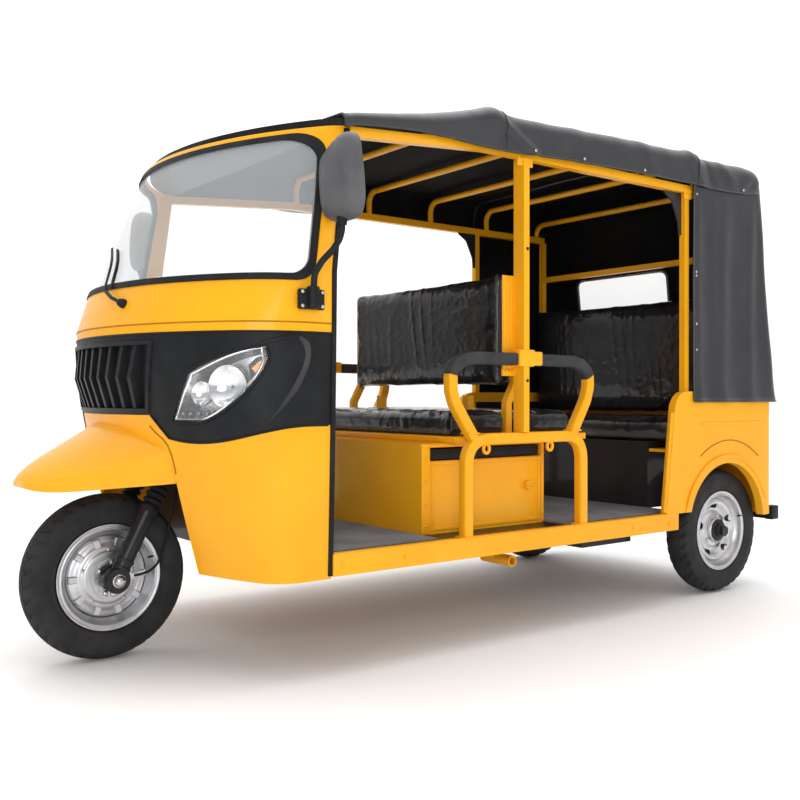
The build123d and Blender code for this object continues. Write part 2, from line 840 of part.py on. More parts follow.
def mudguard_section(row, shrink, drop):
    station, half, low, top = row
    half -= shrink
    top -= shrink
    shoulder = low + (top - low) * MUDGUARD_SHOULDER
    outline = [
        Line((-half, low - drop), (-half, shoulder)),
        ThreePointArc((-half, shoulder), (0, top), (half, shoulder)),
        Line((half, shoulder), (half, low - drop)),
        Line((half, low - drop), (-half, low - drop)),
    ]
    return Pos(0, station, 0) * (Plane.XZ * make_face(outline))


def mudguard():
    outer = loft([mudguard_section(row, 0, 0) for row in MUDGUARD])
    rows = [list(row) for row in MUDGUARD]
    rows[0][0] += MUDGUARD_GAUGE
    inner = loft([mudguard_section(row, MUDGUARD_GAUGE, MUDGUARD_GAUGE) for row in rows])
    return outer - inner - cab_block(0)


# Seats


def seat_box():
    inner = BOX_HALF - BOX_WALL
    front = BOX_FRONT + BOX_WALL
    rear = BOX_REAR - BOX_WALL
    box = block(-BOX_HALF, BOX_HALF, BOX_FRONT, BOX_REAR, FLOOR_TOP, BOX_TOP)
    box -= block(-inner, inner, front, rear, FLOOR_TOP, BOX_TOP - BOX_WALL)
    box -= block(-FAR, FAR, HATCH_FRONT, HATCH_REAR, HATCH_LOW, HATCH_TOP)
    return box + block(-BOARD_HALF, BOARD_HALF, BOARD_FRONT, BOARD_REAR, BOX_TOP, BOX_TOP + BOARD_GAUGE)


def hatch_panels():
    inner = BOX_HALF - BOX_WALL
    front = HATCH_FRONT + FIT
    panel = block(inner, BOX_HALF, front, HATCH_REAR - FIT, HATCH_LOW + FIT, HATCH_PANEL_TOP)
    latch = HATCH_REAR - LATCH_SETBACK
    panel += rod((inner, latch, LATCH_Z), (BOX_HALF + LATCH_PROUD, latch, LATCH_Z), LATCH_RADIUS)
    return both_sides(panel)


def cushion(half, front, rear, low, high):
    pad = block(-half, half, front, rear, low, high)
    return fillet(pad.edges(), CUSHION_EDGE)


def seat_posts():
    low = BOX_TOP + BOARD_GAUGE
    foot = CUSHION_GAP_Y
    up = foot + POST_SETBACK
    knee = low + CUSHION_HEIGHT + POST_WIDTH
    path = (
        (POST_X, foot, low),
        (POST_X, foot, knee),
        (POST_X, up, knee + POST_KNEE),
        (POST_X, up, BACKREST_TOP),
    )
    half = POST_WIDTH / 2
    prop = block(PROP_X - half, PROP_X + half, foot - half, foot + half, low, BACKREST_LOW - FIT)
    return both_sides(square_tube(path, POST_WIDTH, POST_WIDTH, (1, 0, 0))) + both_sides(prop)


def rear_seat_base():
    rear = D_POST_Y - REAR_SEAT_SETBACK
    inner = REAR_BASE_HALF - BOX_WALL
    front = REAR_BASE_FRONT + BOX_WALL
    base = block(-REAR_BASE_HALF, REAR_BASE_HALF, REAR_BASE_FRONT, rear, FLOOR_TOP, REAR_BASE_TOP)
    base -= block(-inner, inner, front, rear + FAR, 0, REAR_BASE_TOP - BOX_WALL)
    return base - block(-FAR, FAR, RAIL_KICK_Y, 2 * FAR, 0, FLOOR_TOP)


def rear_backrest():
    rear = D_POST_Y - D_POST_WIDTH / 2 - FIT
    front = rear - REAR_BACK_THICK
    low = REAR_BASE_TOP + REAR_CUSHION_HEIGHT + 3 * FIT
    outline = loop((front - REAR_BACK_LEAN, low), (rear, low), (rear, REAR_BACK_TOP), (front, REAR_BACK_TOP))
    return across(outline, -REAR_CUSHION_HALF, REAR_CUSHION_HALF)


# Upper frame


def pillars():
    half_c = C_PILLAR_WIDTH / 2
    half_d = D_POST_WIDTH / 2
    top = RAIL_Z - ROOF_RAIL / 2
    bar_top = HOOP_BAR_Z + HOOP / 2
    # columns: distance out, station, half width, half depth, foot height
    rows = (
        (PILLAR_X, B_PILLAR_Y, B_PILLAR_WIDTH / 2, B_PILLAR_DEPTH / 2, bar_top),
        (PILLAR_X, C_PILLAR_Y, half_c, half_c, FENDER_TOP),
        (D_POST_X, D_POST_Y, half_d, half_d, WHEELHOUSE_TOP + BOX_WALL),
    )
    posts = []
    for x, station, wide, deep, low in rows:
        posts += both_sides(block(x - wide, x + wide, station - deep, station + deep, low, top))
    return posts


def roof_rails():
    """Side rails that rise from the cab's rear edge and then run level."""
    half = ROOF_RAIL / 2
    line = (
        (0, RAIL_FRONT_Z),
        (CAB_REAR_TOP, RAIL_FRONT_Z),
        (RAIL_LEVEL_Y, RAIL_Z),
        (D_POST_Y + half, RAIL_Z),
    )
    top = [(station, height + half) for station, height in line]
    low = [(station, height - half) for station, height in reversed(line)]
    rail = across(loop(*top, *low), PILLAR_X - half, PILLAR_X + half)
    return both_sides(rail - cab_trim())


def rear_bars():
    half = D_POST_WIDTH / 2
    span = D_POST_X - half
    front = D_POST_Y - half
    heights = (BACK_BAR_Z, REAR_BAR_Z)
    return [block(-span, span, front, front + D_POST_WIDTH, z - half, z + half) for z in heights]


def roof_height(station, column):
    for low, high in zip(ROOF, ROOF[1:]):
        if station <= high[0]:
            share = (station - low[0]) / (high[0] - low[0])
            return low[column] + share * (high[column] - low[column])
    return ROOF[-1][column]


def roof_bows():
    bows = []
    foot = RAIL_Z + ROOF_RAIL / 2
    for station in BOW_STATIONS:
        top = roof_height(station, 2) - CANVAS - BOW_RADIUS - BOW_GAP
        corners = ((-BOW_X, foot), (-BOW_X, top), (BOW_X, top), (BOW_X, foot))
        bows.append(tube([(x, station, z) for x, z in corners], BOW_RADIUS, BOW_BEND))
    return bows


def roof_section(row, inset, drop):
    station, hem, shoulder, crown, radius = row
    half = CANVAS_HALF - inset
    shoulder -= inset
    crown -= inset
    inner = half - radius
    mid = radius * math.sqrt(0.5)
    side = shoulder - radius
    outline = [
        Line((-half, hem - drop), (-half, side)),
        ThreePointArc((-half, side), (-inner - mid, side + mid), (-inner, shoulder)),
        ThreePointArc((-inner, shoulder), (0, crown), (inner, shoulder)),
        ThreePointArc((inner, shoulder), (inner + mid, side + mid), (half, side)),
        Line((half, side), (half, hem - drop)),
        Line((half, hem - drop), (-half, hem - drop)),
    ]
    return Pos(0, station, 0) * (Plane.XZ * make_face(outline))


def roof_canvas():
    outer = loft([roof_section(row, 0, 0) for row in ROOF], ruled=True)
    inner = loft([roof_section(row, CANVAS, CANVAS) for row in ROOF], ruled=True)
    return outer - inner


def rounded_plan(height, half, front, rear, radius):
    """Plan section, square at the front, with round rear corners."""
    inner = half - radius
    mid = radius * math.sqrt(0.5)
    turn = rear - radius
    outline = [
        Line((-half, front), (-half, turn)),
        ThreePointArc((-half, turn), (-inner - mid, turn + mid), (-inner, rear)),
        Line((-inner, rear), (inner, rear)),
        ThreePointArc((inner, rear), (inner + mid, turn + mid), (half, turn)),
        Line((half, turn), (half, front)),
        Line((half, front), (-half, front)),
    ]
    return Plane.XY.offset(height) * make_face(outline)


def quarter_section(height, rear, inset, back):
    half = CANVAS_HALF - inset
    return rounded_plan(height, half, QUARTER_FRONT - back, rear - inset, QUARTER_CORNER - inset)


def window_prism(inset):
    height = WINDOW_TOP - WINDOW_LOW - 2 * inset
    face = Plane.XZ * RectangleRounded(2 * (WINDOW_HALF - inset), height, WINDOW_CORNER)
    centre = (WINDOW_LOW + WINDOW_TOP) / 2
    return Pos(WINDOW_X, D_POST_Y + D_POST_WIDTH, centre) * extrude(face, amount=FAR, dir=(0, 1, 0))


def quarter_shell(outer, inner):
    top = ((QUARTER_LOW, REAR_WALL_LOW_Y), (QUARTER_TOP, REAR_WALL_TOP_Y))
    shell = loft([quarter_section(z, y, outer, 0) for z, y in top], ruled=True)
    return shell - loft([quarter_section(z, y, inner, CANVAS) for z, y in top], ruled=True)


def rear_canvas():
    tuck = CANVAS + FIT
    rows = ROOF + ((REAR_END,) + ROOF[-1][1:],)
    below = loft([roof_section(row, tuck, FAR / 2) for row in rows], ruled=True)
    return (quarter_shell(tuck, tuck + CANVAS) & below) - window_prism(0)


def rear_window():
    tuck = CANVAS + FIT + PANE_SET
    return quarter_shell(tuck, tuck + PANE_GAUGE) & window_prism(FIT)


# Rear body


def body_side_view():
    """Side view of the rear body, its raked front edge ending in a round shoulder."""
    face = side_face(
        loop(
            (FENDER_FRONT_LOW, SILL_TOP),
            (FENDER_FRONT_TOP, FENDER_TOP),
            (REAR_END, FENDER_TOP),
            (REAR_END, BODY_LOW),
            (WHEELBASE, BODY_LOW),
            (WHEELBASE, SILL_TOP),
        )
    )
    shoulder = face.vertices().sort_by(Axis.Z)[-2:].sort_by(Axis.Y)[0]
    return extrude(fillet(shoulder, FENDER_SHOULDER), amount=FAR, dir=(1, 0, 0))


def arch_disc(radius, x0, x1):
    station = WHEELBASE - ARCH_LEAD
    height = WHEEL_Z + ARCH_RISE
    return rod((x0, station, height), (x1, station, height), radius)


def body_shell(wall):
    """Upright wall round the two sides and the tail."""
    front = FENDER_FRONT_LOW
    height = FENDER_TOP - BODY_LOW
    outer = rounded_plan(BODY_LOW, HALF_WIDTH, front, TAIL_Y, BODY_CORNER)
    inner = rounded_plan(BODY_LOW, HALF_WIDTH - wall, front - wall, TAIL_Y - wall, BODY_CORNER - wall)
    return extrude(outer, amount=height, dir=(0, 0, 1)) - extrude(inner, amount=height, dir=(0, 0, 1))


def rear_fenders():
    side_view = body_side_view()
    inner = HALF_WIDTH - FENDER_WALL
    shelf_top = WHEELHOUSE_TOP + BOX_WALL
    fender = body_shell(FENDER_WALL) & side_view & block(TAIL_HALF, FAR, 0, 2 * FAR, 0, FAR)
    fender += arch_disc(ARCH_RADIUS + ARCH_LIP, inner, HALF_WIDTH + ARCH_LIP_PROUD) & side_view
    fender -= arch_disc(ARCH_RADIUS, inner, FAR)
    fender += block(WHEELHOUSE_X, inner, FLOOR_END, TAIL_Y - FENDER_WALL, WHEELHOUSE_TOP, shelf_top)
    return both_sides(fender)


def tail_panel():
    panel = body_shell(TAIL_GAUGE) & block(-TAIL_HALF, TAIL_HALF, WHEELBASE, REAR_END, 0, FAR)
    for x in (-PLATE_SPACING / 2, PLATE_SPACING / 2):
        panel -= rod((x, WHEELBASE, PLATE_Z), (x, REAR_END, PLATE_Z), PLATE_HOLE)
    return panel


def bumper():
    return block(-BUMPER_HALF, BUMPER_HALF, TAIL_Y, REAR_END, BUMPER_LOW, BUMPER_TOP)


def tail_lamps():
    half = TAIL_LAMP_WIDTH / 2
    top = TAIL_LAMP_LOW + TAIL_LAMP_HEIGHT
    lamp = block(TAIL_LAMP_X - half, TAIL_LAMP_X + half, TAIL_Y, TAIL_Y + TAIL_LAMP_DEPTH, TAIL_LAMP_LOW, top)
    return both_sides(fillet(lamp.faces().sort_by(Axis.Y)[-1].edges(), TAIL_LAMP_EDGE))


def rear_axle():
    beam = rod((-AXLE_HALF, WHEELBASE, WHEEL_Z), (AXLE_HALF, WHEELBASE, WHEEL_Z), AXLE_TUBE_RADIUS)
    case = rod((-DIFF_HALF, WHEELBASE, WHEEL_Z), (DIFF_HALF, WHEELBASE, WHEEL_Z), DIFF_RADIUS)
    beam += fillet(case.edges(), DIFF_HALF / 2)
    beam += rod((0, WHEELBASE - DIFF_RADIUS - DIFF_HALF, WHEEL_Z), (0, WHEELBASE, WHEEL_Z), DIFF_HALF)
    end = REAR_WHEEL_X + REAR_HUB_HALF
    beam += rod((-end, WHEELBASE, WHEEL_Z), (end, WHEELBASE, WHEEL_Z), SPINDLE_RADIUS)
    for x in (-end - NUT_GAUGE, end):
        hexagon = Plane((x, WHEELBASE, WHEEL_Z), z_dir=(1, 0, 0)) * RegularPolygon(SPINDLE_NUT, 6)
        beam += extrude(hexagon, amount=NUT_GAUGE)
    return beam


def leaf_springs():
    low = WHEEL_Z + AXLE_TUBE_RADIUS + FIT
    top = low + SPRING_GAUGE
    front = WHEELBASE - SPRING_FRONT
    rear = WHEELBASE + SPRING_REAR
    rise = SPRING_CAMBER
    outline = [
        ThreePointArc((front, low + rise), (WHEELBASE, low), (rear, low + rise)),
        Line((rear, low + rise), (rear, top + rise)),
        ThreePointArc((rear, top + rise), (WHEELBASE, top), (front, top + rise)),
        Line((front, top + rise), (front, low + rise)),
    ]
    return both_sides(across(outline, SPRING_X - SPRING_WIDTH / 2, SPRING_X + SPRING_WIDTH / 2))


def engine_block():
    rear = ENGINE_FRONT + ENGINE_LENGTH
    return block(-ENGINE_HALF, ENGINE_HALF, ENGINE_FRONT, rear, FLOOR_TOP, FLOOR_TOP + ENGINE_HEIGHT)


# Handrails and mirrors


def handrails():
    """Lower hoop on the sill with a wider loop above it, parted by the middle pillar."""
    hoop = (
        (HOOP_X, HOOP_FRONT, SILL_TOP),
        (HOOP_X, HOOP_FRONT, HOOP_BAR_Z),
        (HOOP_X, HOOP_REAR, HOOP_BAR_Z),
        (HOOP_X, HOOP_REAR, SILL_TOP),
    )
    upper = (
        (HOOP_X, HOOP_FRONT + LOOP_INSET, HOOP_BAR_Z),
        (HOOP_X, HOOP_FRONT - HOOP_BULGE, HOOP_BULGE_Z),
        (HOOP_X, HOOP_FRONT - LOOP_SPREAD, HOOP_TOP),
        (HOOP_X, HOOP_REAR + LOOP_SPREAD, HOOP_TOP),
        (HOOP_X, HOOP_REAR + HOOP_BULGE, HOOP_BULGE_Z),
        (HOOP_X, HOOP_REAR - LOOP_INSET, HOOP_BAR_Z),
    )
    rail = square_tube(hoop, HOOP, HOOP_BEND, (1, 0, 0)) + square_tube(upper, HOOP, LOOP_BEND, (1, 0, 0))
    wide = B_PILLAR_WIDTH / 2 + FIT
    deep = B_PILLAR_DEPTH / 2 + FIT
    foot = HOOP_BAR_Z + HOOP / 2
    slot = block(PILLAR_X - wide, PILLAR_X + wide, B_PILLAR_Y - deep, B_PILLAR_Y + deep, foot, FAR)
    return both_sides(rail - slot)


def mirrors():
    centre = (MIRROR_X, MIRROR_Y + MIRROR_DEPTH / 2, MIRROR_LOW + MIRROR_HEIGHT / 2)
    face = Plane(centre, x_dir=(1, 0, 0), z_dir=(0, -1, 0))
    outline = RectangleRounded(MIRROR_WIDTH, MIRROR_HEIGHT, MIRROR_CORNER)
    head = extrude(face * outline, amount=MIRROR_DEPTH, taper=MIRROR_TAPER)
    skin = CAB_LOWER[-1][2] + FIT
    y, z = MIRROR_BASE_Y, MIRROR_BASE_Z
    half, rise = MIRROR_BASE_HALF, MIRROR_BASE_RISE
    head += block(skin, skin + MIRROR_BASE_GAUGE, y - half, y + half, z - rise, z + rise)
    foot_x = skin + MIRROR_ARM_SET
    arm = (
        (foot_x, y, z),
        (foot_x, y, z + MIRROR_ARM_RISE),
        (MIRROR_X, MIRROR_Y, MIRROR_LOW - MIRROR_ARM_DROP),
        (MIRROR_X, MIRROR_Y, MIRROR_LOW + MIRROR_CORNER),
    )
    return both_sides(head + tube(arm, MIRROR_ARM_RADIUS, MIRROR_ARM_BEND))


def cab_pieces():
    skin = cab_skin(0, -CAB_WALL) & cab_trim()
    band = fascia_region()
    above = block(-FAR, FAR, -FAR, FAR, FASCIA_TOP, FAR)
    below = skin - band - above
    lamps = lamp_prism(-FIT)
    grille_hole = fore_aft(grille_face(-FIT), -FAR, CAB_REAR_LOW)
    bucket = cab_skin(-LENS_GAUGE - FIT, -LAMP_DEPTH) & lamp_prism(0)
    hollow = cab_skin(0, -LAMP_DEPTH + LAMP_WALL) & lamp_prism(LAMP_WALL)
    rim = fore_aft(grille_face(0), -FAR, CAB_REAR_LOW) - fore_aft(grille_face(GRILLE_RIM), -FAR, CAB_REAR_LOW)
    grille = cab_skin(GRILLE_PROUD, -GRILLE_DEPTH) & rim
    pitch = 2 * (GRILLE_TOP_HALF - GRILLE_RIM) / (GRILLE_SLATS + 1)
    field = slat_block() - cab_block(-GRILLE_DEPTH)
    for number in range(GRILLE_SLATS):
        x = (number - (GRILLE_SLATS - 1) / 2) * pitch
        lean = (GRILLE_LOW_HALF / GRILLE_TOP_HALF - 1) * x
        bar = loop(
            (x + lean - SLAT_WIDTH / 2, GRILLE_LOW),
            (x + lean + SLAT_WIDTH / 2, GRILLE_LOW),
            (x + SLAT_WIDTH / 2, GRILLE_TOP),
            (x - SLAT_WIDTH / 2, GRILLE_TOP),
        )
        grille += field & fore_aft(bar, -FAR, CAB_REAR_LOW)
    back = cab_skin(-GRILLE_DEPTH, -GRILLE_DEPTH - LAMP_WALL)
    grille += back & fore_aft(grille_face(0), -FAR, CAB_REAR_LOW)
    seal_ring = windscreen_prism(FIT) - windscreen_prism(SEAL_WIDTH)
    glass = cab_skin(-GLASS_SET, -GLASS_SET - GLASS_GAUGE)
    visor_plan = cab_section(CAB_UPPER[-1], VISOR_PROUD)
    visor = Pos(0, 0, -FAR / 2) * extrude(visor_plan, amount=FAR, dir=(0, 0, 1))
    visor = visor & (under_roof(0) - under_roof(VISOR_GAUGE))
    visor = visor & block(-FAR, FAR, -FAR, CAB_REAR_TOP, 0, FAR * 2)
    return {
        "leg_shield": below - well_cut(),
        "front_fascia": (skin & band) - lamps - grille_hole,
        "windscreen_frame": (skin & above & under_roof(VISOR_GAUGE)) - windscreen_prism(0),
        "windscreen_glass": glass & windscreen_prism(SEAL_WIDTH + FIT),
        "windscreen_seal": cab_skin(SEAL_PROUD, -CAB_WALL) & seal_ring,
        "grille": grille,
        "headlamp_housings": bucket - hollow,
        "headlamp_lenses": cab_skin(0, -LENS_GAUGE) & lamp_prism(0),
        "visor": visor,
    }


def rolling(shape, x, y):
    return Pos(x, y, WHEEL_Z) * shape


front_wheel = wheel(FRONT_AXLE_RADIUS + RUNNING_FIT, FRONT_HUB_HALF)
rear_wheel = wheel(SPINDLE_RADIUS + RUNNING_FIT, REAR_HUB_HALF)
rubber = tyre()
seat_low = BOX_TOP + BOARD_GAUGE + FIT
seat_top = BOX_TOP + BOARD_GAUGE + CUSHION_HEIGHT
cushion_front = BOARD_FRONT + CUSHION_SETBACK
cushion_rear = BOARD_REAR - CUSHION_SETBACK
gap = CUSHION_GAP / 2
rear_end = D_POST_Y - REAR_SEAT_SETBACK
rear_low = REAR_BASE_TOP + FIT
rear_top = REAR_BASE_TOP + REAR_CUSHION_HEIGHT

NODES = {
    "chassis_frame": chassis_frame(),
    "under_tray": under_tray(),
    "steering_neck": steering_neck(),
    "floor_pan": floor_pan(),
    "floor_mats": floor_mats(),
    "front_bulkhead": bulkhead(),
    "dashboard": dashboard(),
    "front_mudguard": mudguard(),
    "seat_box": seat_box(),
    "hatch_panels": hatch_panels(),
    "driver_cushion": cushion(CUSHION_HALF, cushion_front, CUSHION_GAP_Y - gap, seat_low, seat_top),
    "middle_cushion": cushion(CUSHION_HALF, CUSHION_GAP_Y + gap, cushion_rear, seat_low, seat_top),
    "seat_posts": seat_posts(),
    "seat_backrest": cushion(BACKREST_HALF, BACKREST_FRONT, BACKREST_REAR, BACKREST_LOW, BACKREST_TOP),
    "rear_seat_base": rear_seat_base(),
    "rear_cushion": cushion(REAR_CUSHION_HALF, REAR_CUSHION_FRONT, rear_end, rear_low, rear_top),
    "rear_backrest": rear_backrest(),
    "pillars": pillars(),
    "roof_rails": roof_rails(),
    "rear_cross_bars": rear_bars(),
    "roof_bows": roof_bows(),
    "roof_canvas": roof_canvas(),
    "rear_canvas": rear_canvas(),
    "rear_window": rear_window(),
    "rear_fenders": rear_fenders(),
    "tail_panel": tail_panel(),
    "rear_bumper": bumper(),
    "tail_lamps": tail_lamps(),
    "rear_axle": rear_axle(),
    "leaf_springs": leaf_springs(),
    "engine_block": engine_block(),
    "handrails": handrails(),
    "mirrors": mirrors(),
    "front_fork": front_fork(),
    "front_axle": front_axle(),
    "front_brake_plate": brake_plate(),
    "front_brake_cable": brake_cable(),
    "handlebar": handlebar(),
    "front_wheel": rolling(front_wheel, 0, 0),
    "front_tyre": rolling(rubber, 0, 0),
    "rear_wheel_left": rolling(rear_wheel, REAR_WHEEL_X, WHEELBASE),
    "rear_tyre_left": rolling(rubber, REAR_WHEEL_X, WHEELBASE),
    "rear_wheel_right": rolling(mirror(rear_wheel, about=Plane.YZ), -REAR_WHEEL_X, WHEELBASE),
    "rear_tyre_right": rolling(rubber, -REAR_WHEEL_X, WHEELBASE),
}
NODES.update(cab_pieces())

os.makedirs("parts", exist_ok=True)
for name, shape in NODES.items():
    solids = shape if isinstance(shape, list) else [shape]
    placed = Compound([Pos(0, ORIGIN_SHIFT, 0) * solid for piece in solids for solid in piece.solids()])
    export_step(placed, f"parts/{name}.step")
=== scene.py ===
import json
import math

import bmesh
import bpy
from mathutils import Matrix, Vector, noise
from mathutils.bvhtree import BVHTree


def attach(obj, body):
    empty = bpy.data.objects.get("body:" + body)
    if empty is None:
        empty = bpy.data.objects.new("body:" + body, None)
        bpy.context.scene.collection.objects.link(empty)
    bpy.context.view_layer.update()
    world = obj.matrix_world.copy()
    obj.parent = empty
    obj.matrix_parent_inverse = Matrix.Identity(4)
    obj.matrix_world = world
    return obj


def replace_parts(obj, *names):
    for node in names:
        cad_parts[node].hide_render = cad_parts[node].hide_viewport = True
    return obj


# Dressing of a passenger auto rickshaw. Metres in the shared frame: X to the vehicle's left,
# Y rearward, Z up. Stations are given in millimetres from the front axle, as in the part's source.

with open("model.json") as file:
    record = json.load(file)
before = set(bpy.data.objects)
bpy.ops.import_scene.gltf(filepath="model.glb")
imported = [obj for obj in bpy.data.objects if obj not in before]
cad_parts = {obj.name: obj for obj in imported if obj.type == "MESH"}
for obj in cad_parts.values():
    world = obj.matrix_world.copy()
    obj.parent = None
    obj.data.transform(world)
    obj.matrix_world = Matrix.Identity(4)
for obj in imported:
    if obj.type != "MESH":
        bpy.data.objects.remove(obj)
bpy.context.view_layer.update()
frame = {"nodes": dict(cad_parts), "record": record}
nodes = frame["nodes"]
scene = bpy.context.scene
scene.view_settings.view_transform = "Standard"

AXLE_Y = -1.260
BODY = "vehicle_body"
STEER = "steering"


def mm(x, y, z):
    """Point given in millimetres from the front axle, as metres in the shared frame."""
    return Vector((x / 1000, y / 1000 + AXLE_Y, z / 1000))


# Materials


class Finish:
    """Node material around one shader, with object coordinates in metres."""

    def __init__(self, name, color, rough, **sockets):
        self.material = bpy.data.materials.new(name)
        self.material.use_nodes = True
        self.tree = self.material.node_tree
        self.shader = self.tree.nodes["Principled BSDF"]
        self.coords = self.tree.nodes.new("ShaderNodeTexCoord").outputs["Object"]
        self.color = tuple(color)
        self.set("Base Color", (*color, 1))
        self.set("Roughness", rough)
        self.rough = rough
        self.normal = None
        self.material.diffuse_color = (*color, 1)
        for socket, value in sockets.items():
            self.set(socket.replace("_", " "), value)

    def set(self, socket, value):
        self.shader.inputs[socket].default_value = value

    def link(self, out, into):
        self.tree.links.new(out, into)

    def mapped(self, scale):
        mapping = self.tree.nodes.new("ShaderNodeMapping")
        mapping.inputs["Scale"].default_value = scale
        self.link(self.coords, mapping.inputs["Vector"])
        return mapping.outputs["Vector"]

    def noise(self, scale, detail=4, stretch=(1, 1, 1), rough=0.5):
        node = self.tree.nodes.new("ShaderNodeTexNoise")
        node.inputs["Scale"].default_value = scale
        node.inputs["Detail"].default_value = detail
        node.inputs["Roughness"].default_value = rough
        self.link(self.mapped(stretch), node.inputs["Vector"])
        return node.outputs["Fac"]

    def voronoi(self, scale, feature="F1", stretch=(1, 1, 1)):
        node = self.tree.nodes.new("ShaderNodeTexVoronoi")
        node.feature = feature
        node.inputs["Scale"].default_value = scale
        self.link(self.mapped(stretch), node.inputs["Vector"])
        return node.outputs["Distance"]

    def wave(self, scale, direction="X", distortion=0.0):
        node = self.tree.nodes.new("ShaderNodeTexWave")
        node.bands_direction = direction
        node.inputs["Scale"].default_value = scale
        node.inputs["Distortion"].default_value = distortion
        self.link(self.coords, node.inputs["Vector"])
        return node.outputs["Fac"]

    def ramp(self, fac, low, high, start=0.35, end=0.65):
        node = self.tree.nodes.new("ShaderNodeValToRGB")
        node.color_ramp.elements[0].position = start
        node.color_ramp.elements[0].color = low
        node.color_ramp.elements[1].position = end
        node.color_ramp.elements[1].color = high
        self.link(fac, node.inputs["Fac"])
        return node.outputs["Color"]

    def vary_color(self, fac, other, start=0.35, end=0.65):
        """Colour drifts between the base and another tint."""
        self.link(self.ramp(fac, (*self.color, 1), (*other, 1), start, end), self.shader.inputs["Base Color"])
        return self

    def vary_rough(self, fac, low, high):
        node = self.tree.nodes.new("ShaderNodeMapRange")
        node.inputs["To Min"].default_value = low
        node.inputs["To Max"].default_value = high
        self.link(fac, node.inputs["Value"])
        self.link(node.outputs["Result"], self.shader.inputs["Roughness"])
        return self

    def bump(self, fac, distance, strength=1.0):
        """Adds one layer of relief; distance in metres."""
        node = self.tree.nodes.new("ShaderNodeBump")
        node.inputs["Strength"].default_value = strength
        node.inputs["Distance"].default_value = distance
        self.link(fac, node.inputs["Height"])
        if self.normal is not None:
            self.link(self.normal, node.inputs["Normal"])
        self.normal = node.outputs["Normal"]
        self.link(self.normal, self.shader.inputs["Normal"])
        return self


def paint(name, color, dusk, rough=0.36, coat=0.22):
    made = Finish(name, color, rough, Coat_Weight=coat, Coat_Roughness=0.07, Specular_IOR_Level=0.12)
    made.vary_color(made.noise(5, 6), dusk, 0.3, 0.75)
    made.vary_rough(made.noise(38, 5), rough - 0.07, rough + 0.10)
    made.bump(made.noise(420, 2), 0.00012)
    return made.material


def plastic(name, color, pale, rough=0.42, grain=1400, depth=0.00012):
    made = Finish(name, color, rough, Specular_IOR_Level=0.18)
    made.vary_color(made.noise(14, 5), pale, 0.35, 0.8)
    made.vary_rough(made.noise(60, 4), rough - 0.06, rough + 0.12)
    made.bump(made.voronoi(grain), depth)
    return made.material


def metal(name, color, dull, rough=0.28, brushed=(1, 1, 1), depth=0.00008):
    made = Finish(name, color, rough, Metallic=1.0)
    made.vary_color(made.noise(26, 6), dull, 0.3, 0.8)
    made.vary_rough(made.noise(70, 5, brushed), rough - 0.08, rough + 0.14)
    made.bump(made.noise(600, 3, brushed), depth)
    return made.material


def canvas_cloth():
    made = Finish("canvas_vinyl", (0.008, 0.009, 0.012), 0.42, Specular_IOR_Level=0.45, Coat_Weight=0.40,
                  Coat_Roughness=0.22)
    made.vary_color(made.noise(3.5, 6), (0.017, 0.018, 0.024), 0.35, 0.8)
    made.vary_rough(made.noise(30, 5), 0.38, 0.60)
    made.bump(made.noise(9, 4, (1, 0.6, 1)), 0.004, 0.5)
    made.bump(made.voronoi(900), 0.00025)
    return made.material


# Darker, duller copy of the canvas for its inner face: painted shade under the roof and inside the rear cover
def shaded_canvas_underside():
    made = Finish("canvas_underside_painted_shade", (0.005, 0.005, 0.005), 0.80, Specular_IOR_Level=0.08)
    made.vary_color(made.noise(6, 5), (0.010, 0.010, 0.010), 0.35, 0.75)
    made.bump(made.noise(9, 4, (1, 0.6, 1)), 0.003, 0.5)
    made.bump(made.voronoi(1100), 0.0003)
    return made.material


def wrapped_vinyl():
    made = Finish("seat_vinyl_wrapped", (0.009, 0.009, 0.011), 0.34, Coat_Weight=0.55, Coat_Roughness=0.06,
                  Specular_IOR_Level=0.2)
    made.vary_color(made.noise(9, 6), (0.022, 0.022, 0.026), 0.45, 0.8)
    made.vary_rough(made.noise(40, 4), 0.22, 0.46)
    made.bump(made.noise(16, 6, (0.5, 1, 1.6), 0.65), 0.006, 0.55)
    made.bump(made.voronoi(34, "DISTANCE_TO_EDGE", (0.7, 1, 1.4)), 0.002, 0.5)
    made.bump(made.noise(700, 2), 0.00012)
    return made.material


def tyre_rubber():
    made = Finish("tyre_rubber", (0.014, 0.014, 0.015), 0.72, Specular_IOR_Level=0.35)
    made.vary_color(made.noise(12, 6), (0.032, 0.031, 0.030), 0.4, 0.8)
    made.vary_rough(made.noise(45, 5), 0.6, 0.85)
    made.bump(made.noise(300, 4), 0.0003)
    return made.material


def ribbed_mat():
    made = Finish("floor_mat", (0.16, 0.16, 0.17), 0.62)
    made.vary_color(made.noise(7, 6), (0.26, 0.26, 0.27), 0.35, 0.75)
    made.bump(made.noise(220, 3), 0.0004)
    return made.material


def clear(name, color, rough, alpha, ior=1.45):
    made = Finish(name, color, rough, Alpha=alpha, IOR=ior, Specular_IOR_Level=0.6, Coat_Weight=0.5)
    made.vary_rough(made.noise(3, 4), rough, rough + 0.05)
    return made.material


def lamp_glass(name, color, alpha, flutes):
    made = Finish(name, color, 0.08, Alpha=alpha, IOR=1.5, Coat_Weight=0.6, Coat_Roughness=0.03)
    made.bump(made.wave(flutes), 0.0004, 0.6)
    made.vary_rough(made.noise(20, 3), 0.05, 0.13)
    return made.material


